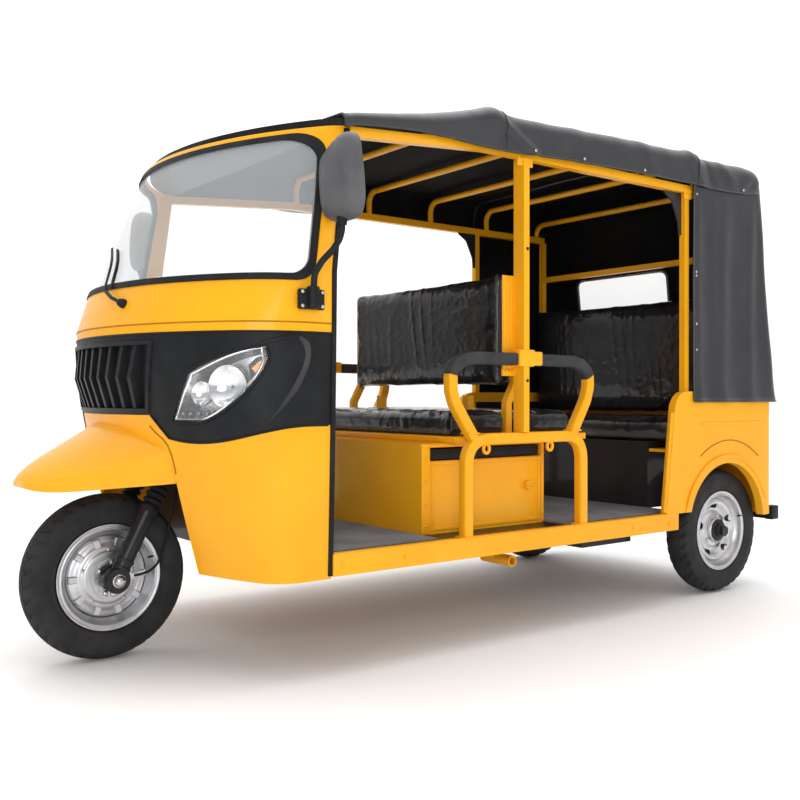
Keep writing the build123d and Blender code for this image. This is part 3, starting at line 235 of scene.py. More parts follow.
yellow = paint("yellow_paint", (0.93, 0.435, 0.012), (0.88, 0.375, 0.008))
black_paint = paint("black_paint", (0.012, 0.012, 0.013), (0.026, 0.026, 0.028), 0.42, 0.25)
black_plastic = plastic("black_plastic", (0.007, 0.008, 0.009), (0.015, 0.016, 0.018))
grille_plastic = plastic("grille_plastic", (0.008, 0.008, 0.010), (0.02, 0.02, 0.022), 0.36)
rubber = plastic("trim_rubber", (0.009, 0.009, 0.010), (0.020, 0.020, 0.021), 0.60, 900)
canvas = canvas_cloth()
canvas_underside_shade = shaded_canvas_underside()
vinyl = wrapped_vinyl()
tyre_mat = tyre_rubber()
mat_rubber = ribbed_mat()
silver = metal("wheel_silver", (0.66, 0.66, 0.68), (0.50, 0.50, 0.52), 0.34)
steel = metal("bright_steel", (0.60, 0.60, 0.61), (0.42, 0.42, 0.43), 0.26, (1, 1, 6))
chrome = metal("lamp_chrome", (0.86, 0.87, 0.89), (0.78, 0.79, 0.81), 0.10)
engine_cast = metal("cast_engine", (0.23, 0.23, 0.24), (0.14, 0.14, 0.14), 0.55)
mirror_grey = plastic("mirror_shell_grey", (0.085, 0.085, 0.090), (0.12, 0.12, 0.125), 0.34, 1800)
# Lighter grey for the embossed crescents on the fascia: painted highlight on their ridge
crescent_painted_highlight = plastic("crescent_painted_highlight", (0.035, 0.036, 0.038), (0.055, 0.056, 0.058), 0.36, 1800)
glass = clear("windscreen_glass", (0.74, 0.79, 0.81), 0.03, 0.22)
wrap_film = clear("wrap_film", (0.60, 0.62, 0.66), 0.05, 0.09)
film = clear("clear_window_film", (0.93, 0.95, 0.96), 0.10, 0.18)
lens = lamp_glass("headlamp_lens", (0.93, 0.95, 0.97), 0.07, 90)
amber = lamp_glass("amber_lens", (0.95, 0.34, 0.02), 0.92, 160)
red = lamp_glass("red_lens", (0.62, 0.010, 0.012), 0.96, 160)
grip_foam = plastic("grip_foam", (0.030, 0.030, 0.032), (0.055, 0.055, 0.057), 0.50, 700, 0.0003)
# Darker orange of the body paint for seams, grooves and the mudguard's joint: painted shade of the creases
painted_crease_shade = paint("painted_crease_shade", (0.42, 0.17, 0.008), (0.36, 0.14, 0.006), 0.5, 0.1)
plate_white = paint("plate_white", (0.80, 0.80, 0.78), (0.72, 0.72, 0.70), 0.4, 0.2)
mirror_glass = metal("mirror_glass", (0.90, 0.91, 0.92), (0.87, 0.88, 0.89), 0.11)

SLOT_FINISH = {
    "yellow_paint": yellow,
    "black_paint": black_paint,
    "black_plastic": black_plastic,
    "canvas": canvas,
    "vinyl": vinyl,
    "rubber": rubber,
    "tyre": tyre_mat,
    "wheel_steel": silver,
    "steel": steel,
    "engine": engine_cast,
    "glass": glass,
    "lens": lens,
    "red_lens": red,
    "mat": mat_rubber,
}
FINISH_SLOT = {finish.name: slot for slot, finish in SLOT_FINISH.items()}
NODE_FINISH = {"grille": grille_plastic, "visor": black_plastic, "rear_window": film}
for row in frame["record"]["subparts"]:
    node = nodes[row["node"]]
    node.data.materials.clear()
    node.data.materials.append(NODE_FINISH.get(row["node"], SLOT_FINISH[row["material_slot"]]))


# Camera, light and floor

camera = bpy.data.objects.new("camera", bpy.data.cameras.new("camera"))
scene.collection.objects.link(camera)
camera.data.lens = 43.0
camera.data.sensor_width = 36.0
heading = math.radians(37.36)
pitch = math.radians(-0.23)
camera.location = (2.9718, -2.3514, 0.8271)
sight = Vector((-math.cos(heading) * math.cos(pitch), math.sin(heading) * math.cos(pitch), math.sin(pitch)))
camera.rotation_euler = sight.to_track_quat("-Z", "Y").to_euler()
scene.camera = camera

floor_mesh = bpy.data.meshes.new("floor")
reach = 40
corners = [(-reach, -reach, 0), (reach, -reach, 0), (reach, reach, 0), (-reach, reach, 0)]
floor_mesh.from_pydata(corners, [], [(0, 1, 2, 3)])
floor = bpy.data.objects.new("floor", floor_mesh)
scene.collection.objects.link(floor)
pale = Finish("floor_pale", (0.94, 0.94, 0.94), 0.75, Specular_IOR_Level=0.2)
pale.bump(pale.noise(60, 4), 0.0005)
floor_mesh.materials.append(pale.material)

# Pale surround: white beyond the object, brightest overhead, dimmer on the side the camera stands on
world = bpy.data.worlds.new("studio")
world.use_nodes = True
sky = world.node_tree
toward = sky.nodes.new("ShaderNodeVectorMath")
toward.operation = "DOT_PRODUCT"
toward.inputs[1].default_value = Vector((sight.x * 0.6, sight.y * 0.6, 1.0)).normalized()
sky.links.new(sky.nodes.new("ShaderNodeTexCoord").outputs["Generated"], toward.inputs[0])
level = sky.nodes.new("ShaderNodeMapRange")
level.clamp = False
level.inputs["From Min"].default_value = 0.05
level.inputs["From Max"].default_value = 0.48
level.inputs["To Min"].default_value = 0.25
level.inputs["To Max"].default_value = 1.02
sky.links.new(toward.outputs["Value"], level.inputs["Value"])
least = sky.nodes.new("ShaderNodeMath")
least.operation = "MAXIMUM"
least.inputs[1].default_value = 0.40
sky.links.new(level.outputs["Result"], least.inputs[0])
sky.nodes["Background"].inputs["Color"].default_value = (1.0, 1.0, 1.0, 1)
sky.links.new(least.outputs["Value"], sky.nodes["Background"].inputs["Strength"])
scene.world = world


def softbox(name, place, aim, size, power):
    lamp = bpy.data.objects.new(name, bpy.data.lights.new(name, "AREA"))
    lamp.data.shape = "RECTANGLE"
    lamp.data.size, lamp.data.size_y = size
    lamp.data.energy = power
    lamp.location = place
    lamp.rotation_euler = (Vector(aim) - Vector(place)).to_track_quat("-Z", "Y").to_euler()
    scene.collection.objects.link(lamp)


softbox("key", (5.4, -4.0, 2.2), (0, 0.1, 0.6), (3.6, 2.6), 125)
softbox("side", (6.0, 2.6, 2.8), (0, 0.6, 0.8), (4.0, 2.6), 35)
softbox("top", (0, 0, 6.0), (0, 0, 0), (5.0, 6.0), 100)

# Mesh helpers

FINISH_SLOT.update({
    "grille_plastic": "black_plastic",
    "mirror_shell_grey": "black_plastic",
    "crescent_painted_highlight": "black_plastic",
    "lamp_chrome": "steel",
    "mirror_glass": "steel",
    "clear_window_film": "glass",
    "wrap_film": "glass",
    "amber_lens": "red_lens",
    "grip_foam": "rubber",
    "painted_crease_shade": "yellow_paint",
    "plate_white": "steel",
})


def piece(name, mesh, finish, body=BODY, smooth=True):
    obj = bpy.data.objects.new(name, mesh)
    scene.collection.objects.link(obj)
    mesh.materials.clear()
    mesh.materials.append(finish)
    if smooth:
        mesh.polygons.foreach_set("use_smooth", [True] * len(mesh.polygons))
    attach(obj, body)
    return obj


def mesh_of(name, verts, faces):
    mesh = bpy.data.meshes.new(name)
    mesh.from_pydata([tuple(v) for v in verts], [], faces)
    mesh.update()
    return mesh


def done(name, bm, finish, body=BODY, smooth=True, sharp=35):
    """Turns a bmesh into a piece, with edges sharper than the given angle kept crisp."""
    bmesh.ops.recalc_face_normals(bm, faces=bm.faces)
    limit = math.radians(sharp)
    for edge in bm.edges:
        if len(edge.link_faces) == 2 and edge.calc_face_angle(0) > limit:
            edge.smooth = False
    mesh = bpy.data.meshes.new(name)
    bm.to_mesh(mesh)
    bm.free()
    return piece(name, mesh, finish, body, smooth)


def rings_into(bm, rings, closed=False, capped=True):
    """Skins a row of equal vertex rings."""
    made = [[bm.verts.new(point) for point in ring] for ring in rings]
    count = len(made[0])
    pairs = list(zip(made, made[1:])) + ([(made[-1], made[0])] if closed else [])
    for low, high in pairs:
        for i in range(count):
            j = (i + 1) % count
            bm.faces.new((low[i], low[j], high[j], high[i]))
    if capped and not closed:
        bm.faces.new(made[0])
        bm.faces.new(list(reversed(made[-1])))


def turned_into(bm, profile, segments, place, axis, shape=None, caps=False):
    """Turns (along, radius) pairs about an axis through place; shape may alter each radius."""
    axis = Vector(axis).normalized()
    side = axis.orthogonal().normalized()
    other = axis.cross(side)
    rings = []
    for along, radius in profile:
        ring = []
        for i in range(segments):
            turn = 2 * math.pi * i / segments
            reach = radius if shape is None else shape(along, radius, i)
            ring.append(place + axis * along + (side * math.cos(turn) + other * math.sin(turn)) * reach)
        rings.append(ring)
    rings_into(bm, rings, capped=caps)


def block_into(bm, low, high, bevel):
    low, high = Vector(low), Vector(high)
    verts = bmesh.ops.create_cube(bm, size=1)["verts"]
    for v in verts:
        v.co = Vector((low[i] + (v.co[i] + 0.5) * (high[i] - low[i]) for i in range(3)))
    if bevel:
        edges = {e for v in verts for e in v.link_edges}
        bmesh.ops.bevel(bm, geom=list(edges), offset=bevel, segments=3, profile=0.5, affect="EDGES")


def rounded(points, radius, steps=6):
    """Rounds the corners of a rigid rail or trim line."""
    points = [Vector(p) for p in points]
    out = [points[0]]
    for before, corner, after in zip(points, points[1:], points[2:]):
        back = before - corner
        on = after - corner
        half = back.angle(on) / 2
        cut = min(radius / math.tan(half), back.length * 0.48, on.length * 0.48)
        start = corner + back.normalized() * cut
        end = corner + on.normalized() * cut
        for i in range(steps + 1):
            t = i / steps
            out.append(start * (1 - t) ** 2 + corner * 2 * t * (1 - t) + end * t ** 2)
    return out + [points[-1]]


def swept_into(bm, points, section, up, closed=False):
    """Carries a section of (across, up) pairs along a line, square to it."""
    points = [Vector(p) for p in points]
    count = len(points)
    up = Vector(up)
    rings = []
    for i, point in enumerate(points):
        ahead = points[(i + 1) % count] if closed or i < count - 1 else points[i]
        behind = points[i - 1] if closed or i > 0 else points[i]
        along = (ahead - behind).normalized()
        across = along.cross(up)
        if across.length < 1e-4:
            across = along.orthogonal()
        across.normalize()
        rise = across.cross(along)
        rings.append([point + across * a + rise * b for a, b in section])
    rings_into(bm, rings, closed)


def round_section(radius, sides=12, flat=1.0):
    turns = [2 * math.pi * i / sides for i in range(sides)]
    return [(radius * math.cos(t), flat * radius * math.sin(t)) for t in turns]


def square_section(width, height, corner):
    out = []
    for sx, sy, start in ((1, 1, 0), (-1, 1, 90), (-1, -1, 180), (1, -1, 270)):
        for i in range(4):
            turn = math.radians(start + 30 * i)
            out.append((sx * (width / 2 - corner) + corner * math.cos(turn),
                        sy * (height / 2 - corner) + corner * math.sin(turn)))
    return out


def tube_piece(name, points, radius, finish, body=BODY, sides=12, up=(0, 0, 1), closed=False, flat=1.0):
    bm = bmesh.new()
    swept_into(bm, points, round_section(radius, sides, flat), up, closed)
    return done(name, bm, finish, body)


def both(points):
    """A line and its mirror across the centre plane."""
    return (points, [Vector((-p[0], p[1], p[2])) for p in points])


DOME = ((-0.2, 1.0), (0.25, 1.0), (0.5, 0.86), (0.68, 0.55), (0.74, 0.15))


def heads_into(bm, spots, radius, sides=12):
    """Screw heads at (point, outward direction)."""
    for point, out in spots:
        turned_into(bm, [(a * radius, r * radius) for a, r in DOME], sides, Vector(point), out, caps=True)


def heads_piece(name, spots, radius, finish, body=BODY, sides=12):
    bm = bmesh.new()
    heads_into(bm, spots, radius, sides)
    return done(name, bm, finish, body)


def mirrored(spots):
    return list(spots) + [(Vector((-p[0], p[1], p[2])), (-n[0], n[1], n[2])) for p, n in spots]


def tree_of(*names):
    verts, faces = [], []
    for name in names:
        mesh = nodes[name].data
        base = len(verts)
        verts += [v.co.copy() for v in mesh.vertices]
        faces += [[base + i for i in p.vertices] for p in mesh.polygons]
    return BVHTree.FromPolygons(verts, faces)


CAB = tree_of("leg_shield", "front_fascia", "windscreen_frame", "windscreen_glass", "windscreen_seal",
              "headlamp_lenses", "grille", "visor")


def front(x, z, lift=0.0):
    """Point on the cab's front, x and height in millimetres, lifted off the skin in metres."""
    hit, normal, *_ = CAB.ray_cast(Vector((x / 1000, -3, z / 1000)), Vector((0, 1, 0)))
    return hit + normal * lift if normal.y < 0 else hit - normal * lift


def flank(y, z, lift=0.0):
    """Point on the cab's left side, station and height in millimetres."""
    hit, normal, *_ = CAB.ray_cast(Vector((3, y / 1000 + AXLE_Y, z / 1000)), Vector((-1, 0, 0)))
    return hit + normal * lift if normal.x > 0 else hit - normal * lift


FOCUS = 43.0 / 36.0 * 800
RIGHT = Vector((math.sin(heading), math.cos(heading), 0))
RISE = RIGHT.cross(sight)


def seen(px, py, tree=CAB, lift=0.0):
    """Point of a surface that the camera sees at a place in the picture."""
    ray = (sight + RIGHT * (px - 400) / FOCUS - RISE * (py - 400) / FOCUS).normalized()
    hit, normal, *_ = tree.ray_cast(camera.location, ray)
    return hit + normal * (lift if normal.dot(ray) < 0 else -lift)


# Wheels and tyres

TYRE_RADIUS = 0.260
REAR_X, WHEELBASE = 0.540, 2.435
WHEELS = (
    ("front", Vector((0, AXLE_Y, TYRE_RADIUS)), 1, "front_wheel_body", "front_wheel", "front_tyre"),
    ("rear_left", Vector((REAR_X, AXLE_Y + WHEELBASE, TYRE_RADIUS)), 1, "rear_left_wheel_body",
     "rear_wheel_left", "rear_tyre_left"),
    ("rear_right", Vector((-REAR_X, AXLE_Y + WHEELBASE, TYRE_RADIUS)), -1, "rear_right_wheel_body",
     "rear_wheel_right", "rear_tyre_right"),
)
TREAD_STEPS = 216
TREAD_PITCH = 6
# columns: distance across, radius; the tread's own points come between the shoulders
SIDEWALL = ((0.0405, 0.152), (0.0410, 0.1675), (0.0465, 0.1700), (0.0500, 0.1745), (0.0490, 0.1775),
            (0.0512, 0.1850), (0.0532, 0.1980), (0.0540, 0.2090), (0.0532, 0.2200), (0.0528, 0.2215),
            (0.0514, 0.2310), (0.0500, 0.2385), (0.0478, 0.2440))
TREAD = tuple(0.0440 - 0.0040 * i for i in range(23))


def tread_radius(across, radius, step):
    """Shoulder blocks parted by slanted grooves, zigzag grooves and a centre rib."""
    out = abs(across)
    phase = step + (3 if across < 0 else 0) + (out / 0.004) * 0.45
    if 0.0225 < out <= 0.0485 and radius > 0.2400 and phase % TREAD_PITCH < 1.6:
        return radius - 0.0062
    zigzag = 0.0185 + 0.0022 * (1 if (step // 3) % 2 else -1)
    if abs(out - zigzag) < 0.0021:
        return radius - 0.0060
    if out < 0.0125 and (step + out / 0.004) % TREAD_PITCH < 1.0:
        return radius - 0.0030
    return radius


def tyre_piece(name, place, body, node):
    crown = [(x, TYRE_RADIUS - 0.0132 * (x / 0.044) ** 2) for x in TREAD]
    profile = list(SIDEWALL) + crown + [(-x, r) for x, r in reversed(SIDEWALL)]
    bm = bmesh.new()
    turned_into(bm, profile + [profile[0]], TREAD_STEPS, place, (1, 0, 0), tread_radius)
    bmesh.ops.remove_doubles(bm, verts=bm.verts, dist=1e-5)
    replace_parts(done(name, bm, tyre_mat, body), node)


# columns: distance out, radius, from the inner flange over the rim, down the dish to the hub
RIM = ((-0.046, 0.158), (-0.046, 0.164), (-0.042, 0.165), (-0.041, 0.153), (-0.026, 0.151), (-0.014, 0.135),
       (0.014, 0.135), (0.026, 0.151), (0.041, 0.153), (0.0415, 0.1645), (0.0440, 0.1660), (0.0465, 0.1655),
       (0.0470, 0.1625), (0.0455, 0.1600), (0.0440, 0.1560), (0.0445, 0.1535), (0.0460, 0.1520),
       (0.0455, 0.1495), (0.0400, 0.1470), (0.0270, 0.1455), (0.0150, 0.1310), (-0.0150, 0.1310),
       (-0.0260, 0.1455), (-0.0400, 0.1475), (-0.046, 0.152))
FRONT_DISH = ((0.0060, 0.1320), (0.0100, 0.1300), (0.0150, 0.1265), (0.0200, 0.1240), (0.0235, 0.1180),
              (0.0240, 0.1120), (0.0255, 0.1060), (0.0300, 0.1000), (0.0335, 0.0960), (0.0345, 0.0900),
              (0.0345, 0.0840), (0.0370, 0.0815), (0.0400, 0.0790), (0.0405, 0.0740), (0.0400, 0.0550),
              (0.0420, 0.0520), (0.0495, 0.0490), (0.0500, 0.0200))
REAR_DISH = ((0.0060, 0.1320), (0.0150, 0.1305), (0.0230, 0.1270), (0.0255, 0.1210), (0.0235, 0.1130),
             (0.0150, 0.1040), (0.0060, 0.0960), (0.0020, 0.0880), (0.0030, 0.0780), (0.0110, 0.0690),
             (0.0135, 0.0640), (0.0130, 0.0560), (0.0150, 0.0520), (0.0300, 0.0490), (0.0320, 0.0460))
BACK = ((0.0040, 0.0260), (-0.0460, 0.0300), (-0.0460, 0.0800), (-0.0400, 0.0900), (-0.0040, 0.0920),
        (-0.0020, 0.1310))
HOLES = 5


def wheel_piece(name, place, side, body, node, dish):
    bm = bmesh.new()
    turned_into(bm, RIM + RIM[:1], 96, place, (side, 0, 0))
    turned_into(bm, dish + BACK + dish[:1], 96, place, (side, 0, 0))
    bmesh.ops.remove_doubles(bm, verts=bm.verts, dist=1e-5)
    made = done(name, bm, silver, body, sharp=50)
    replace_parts(made, node)
    return made


def spokes(count, radius, place, start=0.0):
    """Places round a wheel, with their outward directions."""
    for i in range(count):
        turn = start + 2 * math.pi * i / count
        out = Vector((0, math.cos(turn), math.sin(turn)))
        yield place + out * radius, out


def pads_piece(name, place, body):
    """Raised radial pads round the front wheel's disc, and the bolts between them."""
    bm = bmesh.new()
    for spot, out in spokes(10, 0.1085, place):
        along = Vector((1, 0, 0)).cross(out)
        rings = []
        for lift, wide, long in ((0.020, 0.0120, 0.0165), (0.0295, 0.0110, 0.0155), (0.0325, 0.0085, 0.0125)):
            ring = []
            for a, b in square_section(2 * wide, 2 * long, 0.004):
                ring.append(spot + Vector((lift, 0, 0)) + along * a + out * b)
            rings.append(ring)
        rings_into(bm, rings)
    done(name, bm, silver, body)
    spots = [(spot + Vector((0.0345, 0, 0)), (1, 0, 0)) for spot, _ in spokes(5, 0.087, place, 0.3)]
    heads_piece(name + "_bolts", spots, 0.0062, steel, body, 6)


def hub_piece(name, place, side, body):
    """Dark rear hub with studs, and black cups in painted shade for the round holes in the disc."""
    out = Vector((side, 0, 0))
    bm = bmesh.new()
    profile = ((0.028, 0.047), (0.036, 0.046), (0.039, 0.042), (0.040, 0.030), (0.052, 0.028), (0.055, 0.025),
               (0.055, 0.0155))
    turned_into(bm, profile, 40, place, out)
    done(name, bm, black_paint, body)
    # black cups stand in for the round holes through the disc: their black is painted shade of the openings
    bm = bmesh.new()
    lip = ((0.0030, 0.0150), (0.0195, 0.0155), (0.0225, 0.0150), (0.0232, 0.0135), (0.0200, 0.0125),
           (0.0060, 0.0120), (0.0060, 0.0005))
    for spot, _ in spokes(HOLES, 0.1085, place, 0.4):
        turned_into(bm, lip, 24, spot, out)
    done(name + "_hole_shade", bm, black_paint, body)
    spots = [(spot + out * 0.0125, out) for spot, _ in spokes(HOLES, 0.0590, place)]
    heads_piece(name + "_nuts", spots, 0.0085, steel, body, 6)


for label, place, side, body, wheel_node, tyre_node in WHEELS:
    tyre_piece(label + "_tyre_tread", place, body, tyre_node)
    steered = label == "front"
    wheel_piece(label + "_wheel_disc", place, side, body, wheel_node, FRONT_DISH if steered else REAR_DISH)
    if steered:
        pads_piece("front_wheel_pads", place, body)
    else:
        hub_piece(label + "_hub", place, side, body)
    valve = place + Vector((side * 0.040, 0.128, 0.050))
    stem = [valve, valve + Vector((side * 0.016, 0.010, 0.004))]
    tube_piece(label + "_valve", stem, 0.0032, rubber, body, 8)


# Fork, front hub and brake cable

RAKE = math.radians(27)
UP_FORK = Vector((0, math.sin(RAKE), math.cos(RAKE)))
LEG_X = 95


def leg(x, along, back=0.0):
    """Point on the fork, with the distance up the leg from the axle in millimetres."""
    ahead = Vector((0, math.cos(RAKE), -math.sin(RAKE)))
    return mm(x, 0, 260) + UP_FORK * (along / 1000) + ahead * (back / 1000)


bm = bmesh.new()
for x in (-LEG_X, LEG_X):
    bellows = [(0, 0.0275)]
    for ring in range(8):
        base = 0.006 + ring * 0.0205
        bellows += [(base, 0.0225), (base + 0.007, 0.0310), (base + 0.0135, 0.0310), (base + 0.0195, 0.0225)]
    bellows += [(0.176, 0.0265), (0.179, 0.0195)]
    turned_into(bm, bellows, 32, leg(x, 248), UP_FORK)
    collar = ((0, 0.0275), (0.004, 0.0300), (0.020, 0.0300), (0.024, 0.0275))
    turned_into(bm, collar, 32, leg(x, 228), UP_FORK)
done("fork_bellows", bm, rubber, STEER)

bm = bmesh.new()
for x in (-LEG_X, LEG_X):
    side = 1 if x > 0 else -1
    eye = ((-0.030, 0.036), (-0.024, 0.040), (0.022, 0.040), (0.028, 0.036))
    turned_into(bm, eye, 40, leg(x, 0), (side, 0, 0), caps=True)
    for rise in (34, 58):
        band = ((0, 0.0285), (0.003, 0.0305), (0.009, 0.0305), (0.012, 0.0285))
        turned_into(bm, band, 32, leg(x, rise), UP_FORK)
done("fork_feet", bm, black_paint, STEER)

bm = bmesh.new()
for side in (-1, 1):
    end = leg(side * (LEG_X + 27), 0)
    turned_into(bm, ((0.0, 0.021), (0.006, 0.021), (0.007, 0.0175), (0.016, 0.0175), (0.021, 0.0150),
                     (0.0245, 0.0105), (0.0260, 0.003)), 24, end, (side, 0, 0), caps=True)
done("axle_caps", bm, steel, STEER)

SIGNS = ((-1, -1), (1, -1), (1, 1), (-1, 1))
bm = bmesh.new()
plate_x = 0.060
hub = mm(0, 0, 260)
for spot, out in spokes(8, 0.041, hub):
    along = Vector((1, 0, 0)).cross(out)
    rings = []
    for lift, wide in ((0.0, 0.0045), (0.004, 0.0040), (0.006, 0.0022)):
        at = spot + Vector((plate_x + lift, 0, 0))
        rings.append([at + along * (wide * a) + out * (0.014 * b) for a, b in SIGNS])
    rings_into(bm, rings)
plate_lip = ((plate_x, 0.0635), (plate_x + 0.0035, 0.0630), (plate_x + 0.0035, 0.0585), (plate_x, 0.0575))
turned_into(bm, plate_lip, 64, hub, (1, 0, 0))
done("brake_plate_ribs", bm, silver, STEER)
spots = [(hub + Vector((plate_x + 0.002, -0.038, 0.026)), (1, 0, 0)),
         (hub + Vector((plate_x + 0.002, -0.020, -0.045)), (1, 0, 0))]
heads_piece("brake_link_bolts", spots, 0.010, steel, STEER, 6)
arm_start = hub + Vector((plate_x + 0.006, -0.038, 0.026))
bm = bmesh.new()
brake_arm = [arm_start, arm_start + Vector((0.006, 0.030, 0.012)), leg(LEG_X - 22, 48)]
swept_into(bm, brake_arm, square_section(0.016, 0.007, 0.003), (1, 0, 0))
done("brake_link", bm, black_paint, STEER)

# columns: x, station, height of the cable's route, as in the part's source
CABLE = ((59, 71, 260), (59, 141, 260), (64, 176, 350), (64, 201, 460), (59, 229, 560))
curve = bpy.data.curves.new("front_brake_cable", "CURVE")
curve.dimensions = "3D"
curve.bevel_depth = 0.004
curve.bevel_resolution = 3
spline = curve.splines.new("NURBS")
spline.points.add(len(CABLE) - 1)
for point, row in zip(spline.points, CABLE):
    point.co = (*mm(*row), 1)
spline.use_endpoint_u = True
spline.order_u = 3
cable = bpy.data.objects.new("brake_cable", curve)
scene.collection.objects.link(cable)
curve.materials.append(rubber)
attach(cable, STEER)
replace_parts(cable, "front_brake_cable")


# Cab front: lamps, trims, wiper and mirrors


def arc3(start, via, end, steps):
    """Points on the circle through three front-view points."""
    (ax, ay), (bx, by), (cx, cy) = start, via, end
    d = 2 * (ax * (by - cy) + bx * (cy - ay) + cx * (ay - by))
    a_sq = ax ** 2 + ay ** 2
    b_sq = bx ** 2 + by ** 2
    c_sq = cx ** 2 + cy ** 2
    ux = (a_sq * (by - cy) + b_sq * (cy - ay) + c_sq * (ay - by)) / d
    uy = (a_sq * (cx - bx) + b_sq * (ax - cx) + c_sq * (bx - ax)) / d
    radius = math.hypot(ax - ux, ay - uy)
    a0, a1, a2 = (math.atan2(y - uy, x - ux) for x, y in (start, via, end))
    while a1 - a0 > math.pi:
        a1 -= 2 * math.pi
    while a1 - a0 < -math.pi:
        a1 += 2 * math.pi
    while a2 - a1 > math.pi:
        a2 -= 2 * math.pi
    while a2 - a1 < -math.pi:
        a2 += 2 * math.pi
    turns = [a0 + (a2 - a0) * i / steps for i in range(steps + 1)]
    return [(ux + radius * math.cos(t), uy + radius * math.sin(t)) for t in turns]


def straight(start, end, steps):
    dx, dz = end[0] - start[0], end[1] - start[1]
    return [(start[0] + dx * i / steps, start[1] + dz * i / steps) for i in range(steps + 1)]


def around(bearing, z, lift=0.0):
    """Point on the cab's skin at a height, 0 degrees dead ahead and 90 to the left."""
    turn = math.radians(bearing)
    out = Vector((math.sin(turn), -math.cos(turn), 0))
    hit, normal, *_ = CAB.ray_cast(mm(0, 424, z) + out * 3, -out)
    return hit + normal * (lift if normal.dot(out) > 0 else -lift)


def flowing(points, steps):
    """Smooth line through a row of points."""
    points = [Vector(p) for p in points]
    ends = [points[0] * 2 - points[1], *points, points[-1] * 2 - points[-2]]
    out = []
    for a, b, c, d in zip(ends, ends[1:], ends[2:], ends[3:]):
        for i in range(steps):
            t = i / steps
            out.append(0.5 * (2 * b + (c - a) * t + (2 * a - 5 * b + 4 * c - d) * t ** 2
                              + (3 * b - a - 3 * c + d) * t ** 3))
    return out + [points[-1]]


LAMP = (straight((366, 752), (458, 750), 6)[:-1] + arc3((458, 750), (568, 826), (613, 935), 16)[:-1]
        + straight((613, 935), (609, 972), 3)[:-1] + arc3((609, 972), (522, 942), (431, 896), 14)[:-1]
        + straight((431, 896), (366, 752), 10)[:-1])
LAMP_MID = (sum(p[0] for p in LAMP) / len(LAMP), sum(p[1] for p in LAMP) / len(LAMP))


def lamp_ring(inset, lift):
    """Headlamp outline drawn in towards its middle, laid on the cab's skin."""
    out = []
    for x, z in LAMP:
        away = Vector((LAMP_MID[0] - x, LAMP_MID[1] - z))
        away *= inset / away.length
        out.append(front(x + away.x, z + away.y, lift))
    return out


bm = bmesh.new()
for line in both(lamp_ring(0.5, 0.0015)):
    swept_into(bm, line, square_section(0.009, 0.009, 0.003), (0, -1, 0.2), closed=True)
done("lamp_bezels", bm, black_plastic, sharp=50)
bm = bmesh.new()
for line in both(lamp_ring(10, -0.008)):
    swept_into(bm, line, round_section(0.0045, 10), (0, -1, 0.2), closed=True)
done("lamp_inner_rims", bm, chrome)

LAMP_DIR = Vector((0.52, -0.85, 0.05)).normalized()
# columns: place of the bowl's middle as seen, depth below the lens, radius of bowl
BOWLS = ((224.5, 386, 0.046, 0.058), (197.3, 393, 0.042, 0.033))
BOWL = ((0.0, 0.10), (0.05, 0.32), (0.16, 0.58), (0.34, 0.82), (0.55, 0.98), (0.60, 1.04), (0.56, 1.08),
        (0.30, 1.06))
LEDS = ((181.5, 413.4), (188.5, 413.4), (196.5, 413.6), (205, 413.6), (213.5, 413.6))
TURN_LAMP = ((249, 368), (256, 361.5), (264, 356.5), (260.5, 369), (255, 375))
TURN_BACK = ((246, 378), (243.5, 364), (252, 356.5), (265, 352.5), (262.5, 371), (252, 390))


def sunk(spots, depth, flip):
    """Places seen on the lens, set back behind it by a depth."""
    return [(seen(*spot) - LAMP_DIR * depth) * flip for spot in spots]


def lamp_parts(side):
    shells, bulbs, leds, backs, glow = (bmesh.new() for _ in range(5))
    flip = Vector((side, 1, 1))
    out = LAMP_DIR * flip
    for x, y, depth, radius in BOWLS:
        spot = sunk([(x, y)], depth, flip)[0]
        turned_into(shells, [(a * radius, r * radius) for a, r in BOWL], 40, spot, out)
        bulb = ((0.0, 0.13), (0.34, 0.13), (0.42, 0.10), (0.45, 0.02))
        turned_into(bulbs, [(a * radius, r * radius) for a, r in bulb], 20, spot, out)
    for spot in sunk(LEDS, 0.010, flip):
        turned_into(leds, ((-0.010, 0.0095), (0.0, 0.0095), (0.003, 0.0085), (0.002, 0.0060)), 20, spot, out)
        turned_into(bulbs, ((0.0, 0.0060), (0.0035, 0.0045), (0.0045, 0.0012)), 16, spot, out)
    rings_into(backs, [sunk(TURN_BACK, depth, flip) for depth in (0.036, 0.026)])
    rings_into(glow, [sunk(TURN_LAMP, depth, flip) for depth in (0.026, 0.014)])
    label = "left" if side > 0 else "right"
    done("lamp_reflectors_" + label, shells, chrome, sharp=60)
    done("lamp_bulbs_" + label, bulbs, film)
    done("lamp_leds_" + label, leds, black_plastic)
    done("turn_lamp_back_" + label, backs, black_plastic)
    done("turn_lamp_" + label, glow, amber)


lamp_parts(1)
lamp_parts(-1)

# embossed crescent behind each lamp, laid where it is seen and mirrored: outer and inner edge; its grey,
# lighter than the fascia, is painted highlight on the ridge
CRESCENT_OUT = ((300, 335.5), (308, 340), (311, 348), (310.5, 360), (306.5, 373), (300, 387),
                (290, 400.5), (279, 413), (267, 425))
CRESCENT_IN = ((299, 338), (304, 346), (305.5, 355), (303, 366), (297.5, 378), (290.5, 391),
               (283, 402), (276, 412), (266.5, 423.5))
CRESCENT_TOP = ((256, 347), (266, 342), (279, 338.5), (291, 336.3), (302, 336.3))
rows = []
for outer, inner in zip(flowing(CRESCENT_OUT, 4), flowing(CRESCENT_IN, 4)):
    ridge = outer * 0.75 + inner * 0.25
    rows.append([seen(*outer, lift=0.0002), seen(*ridge, lift=0.0075), seen(*inner, lift=0.0002)])
bm = bmesh.new()
rings_into(bm, rows)
rings_into(bm, [[Vector((-p.x, p.y, p.z)) for p in row] for row in rows])
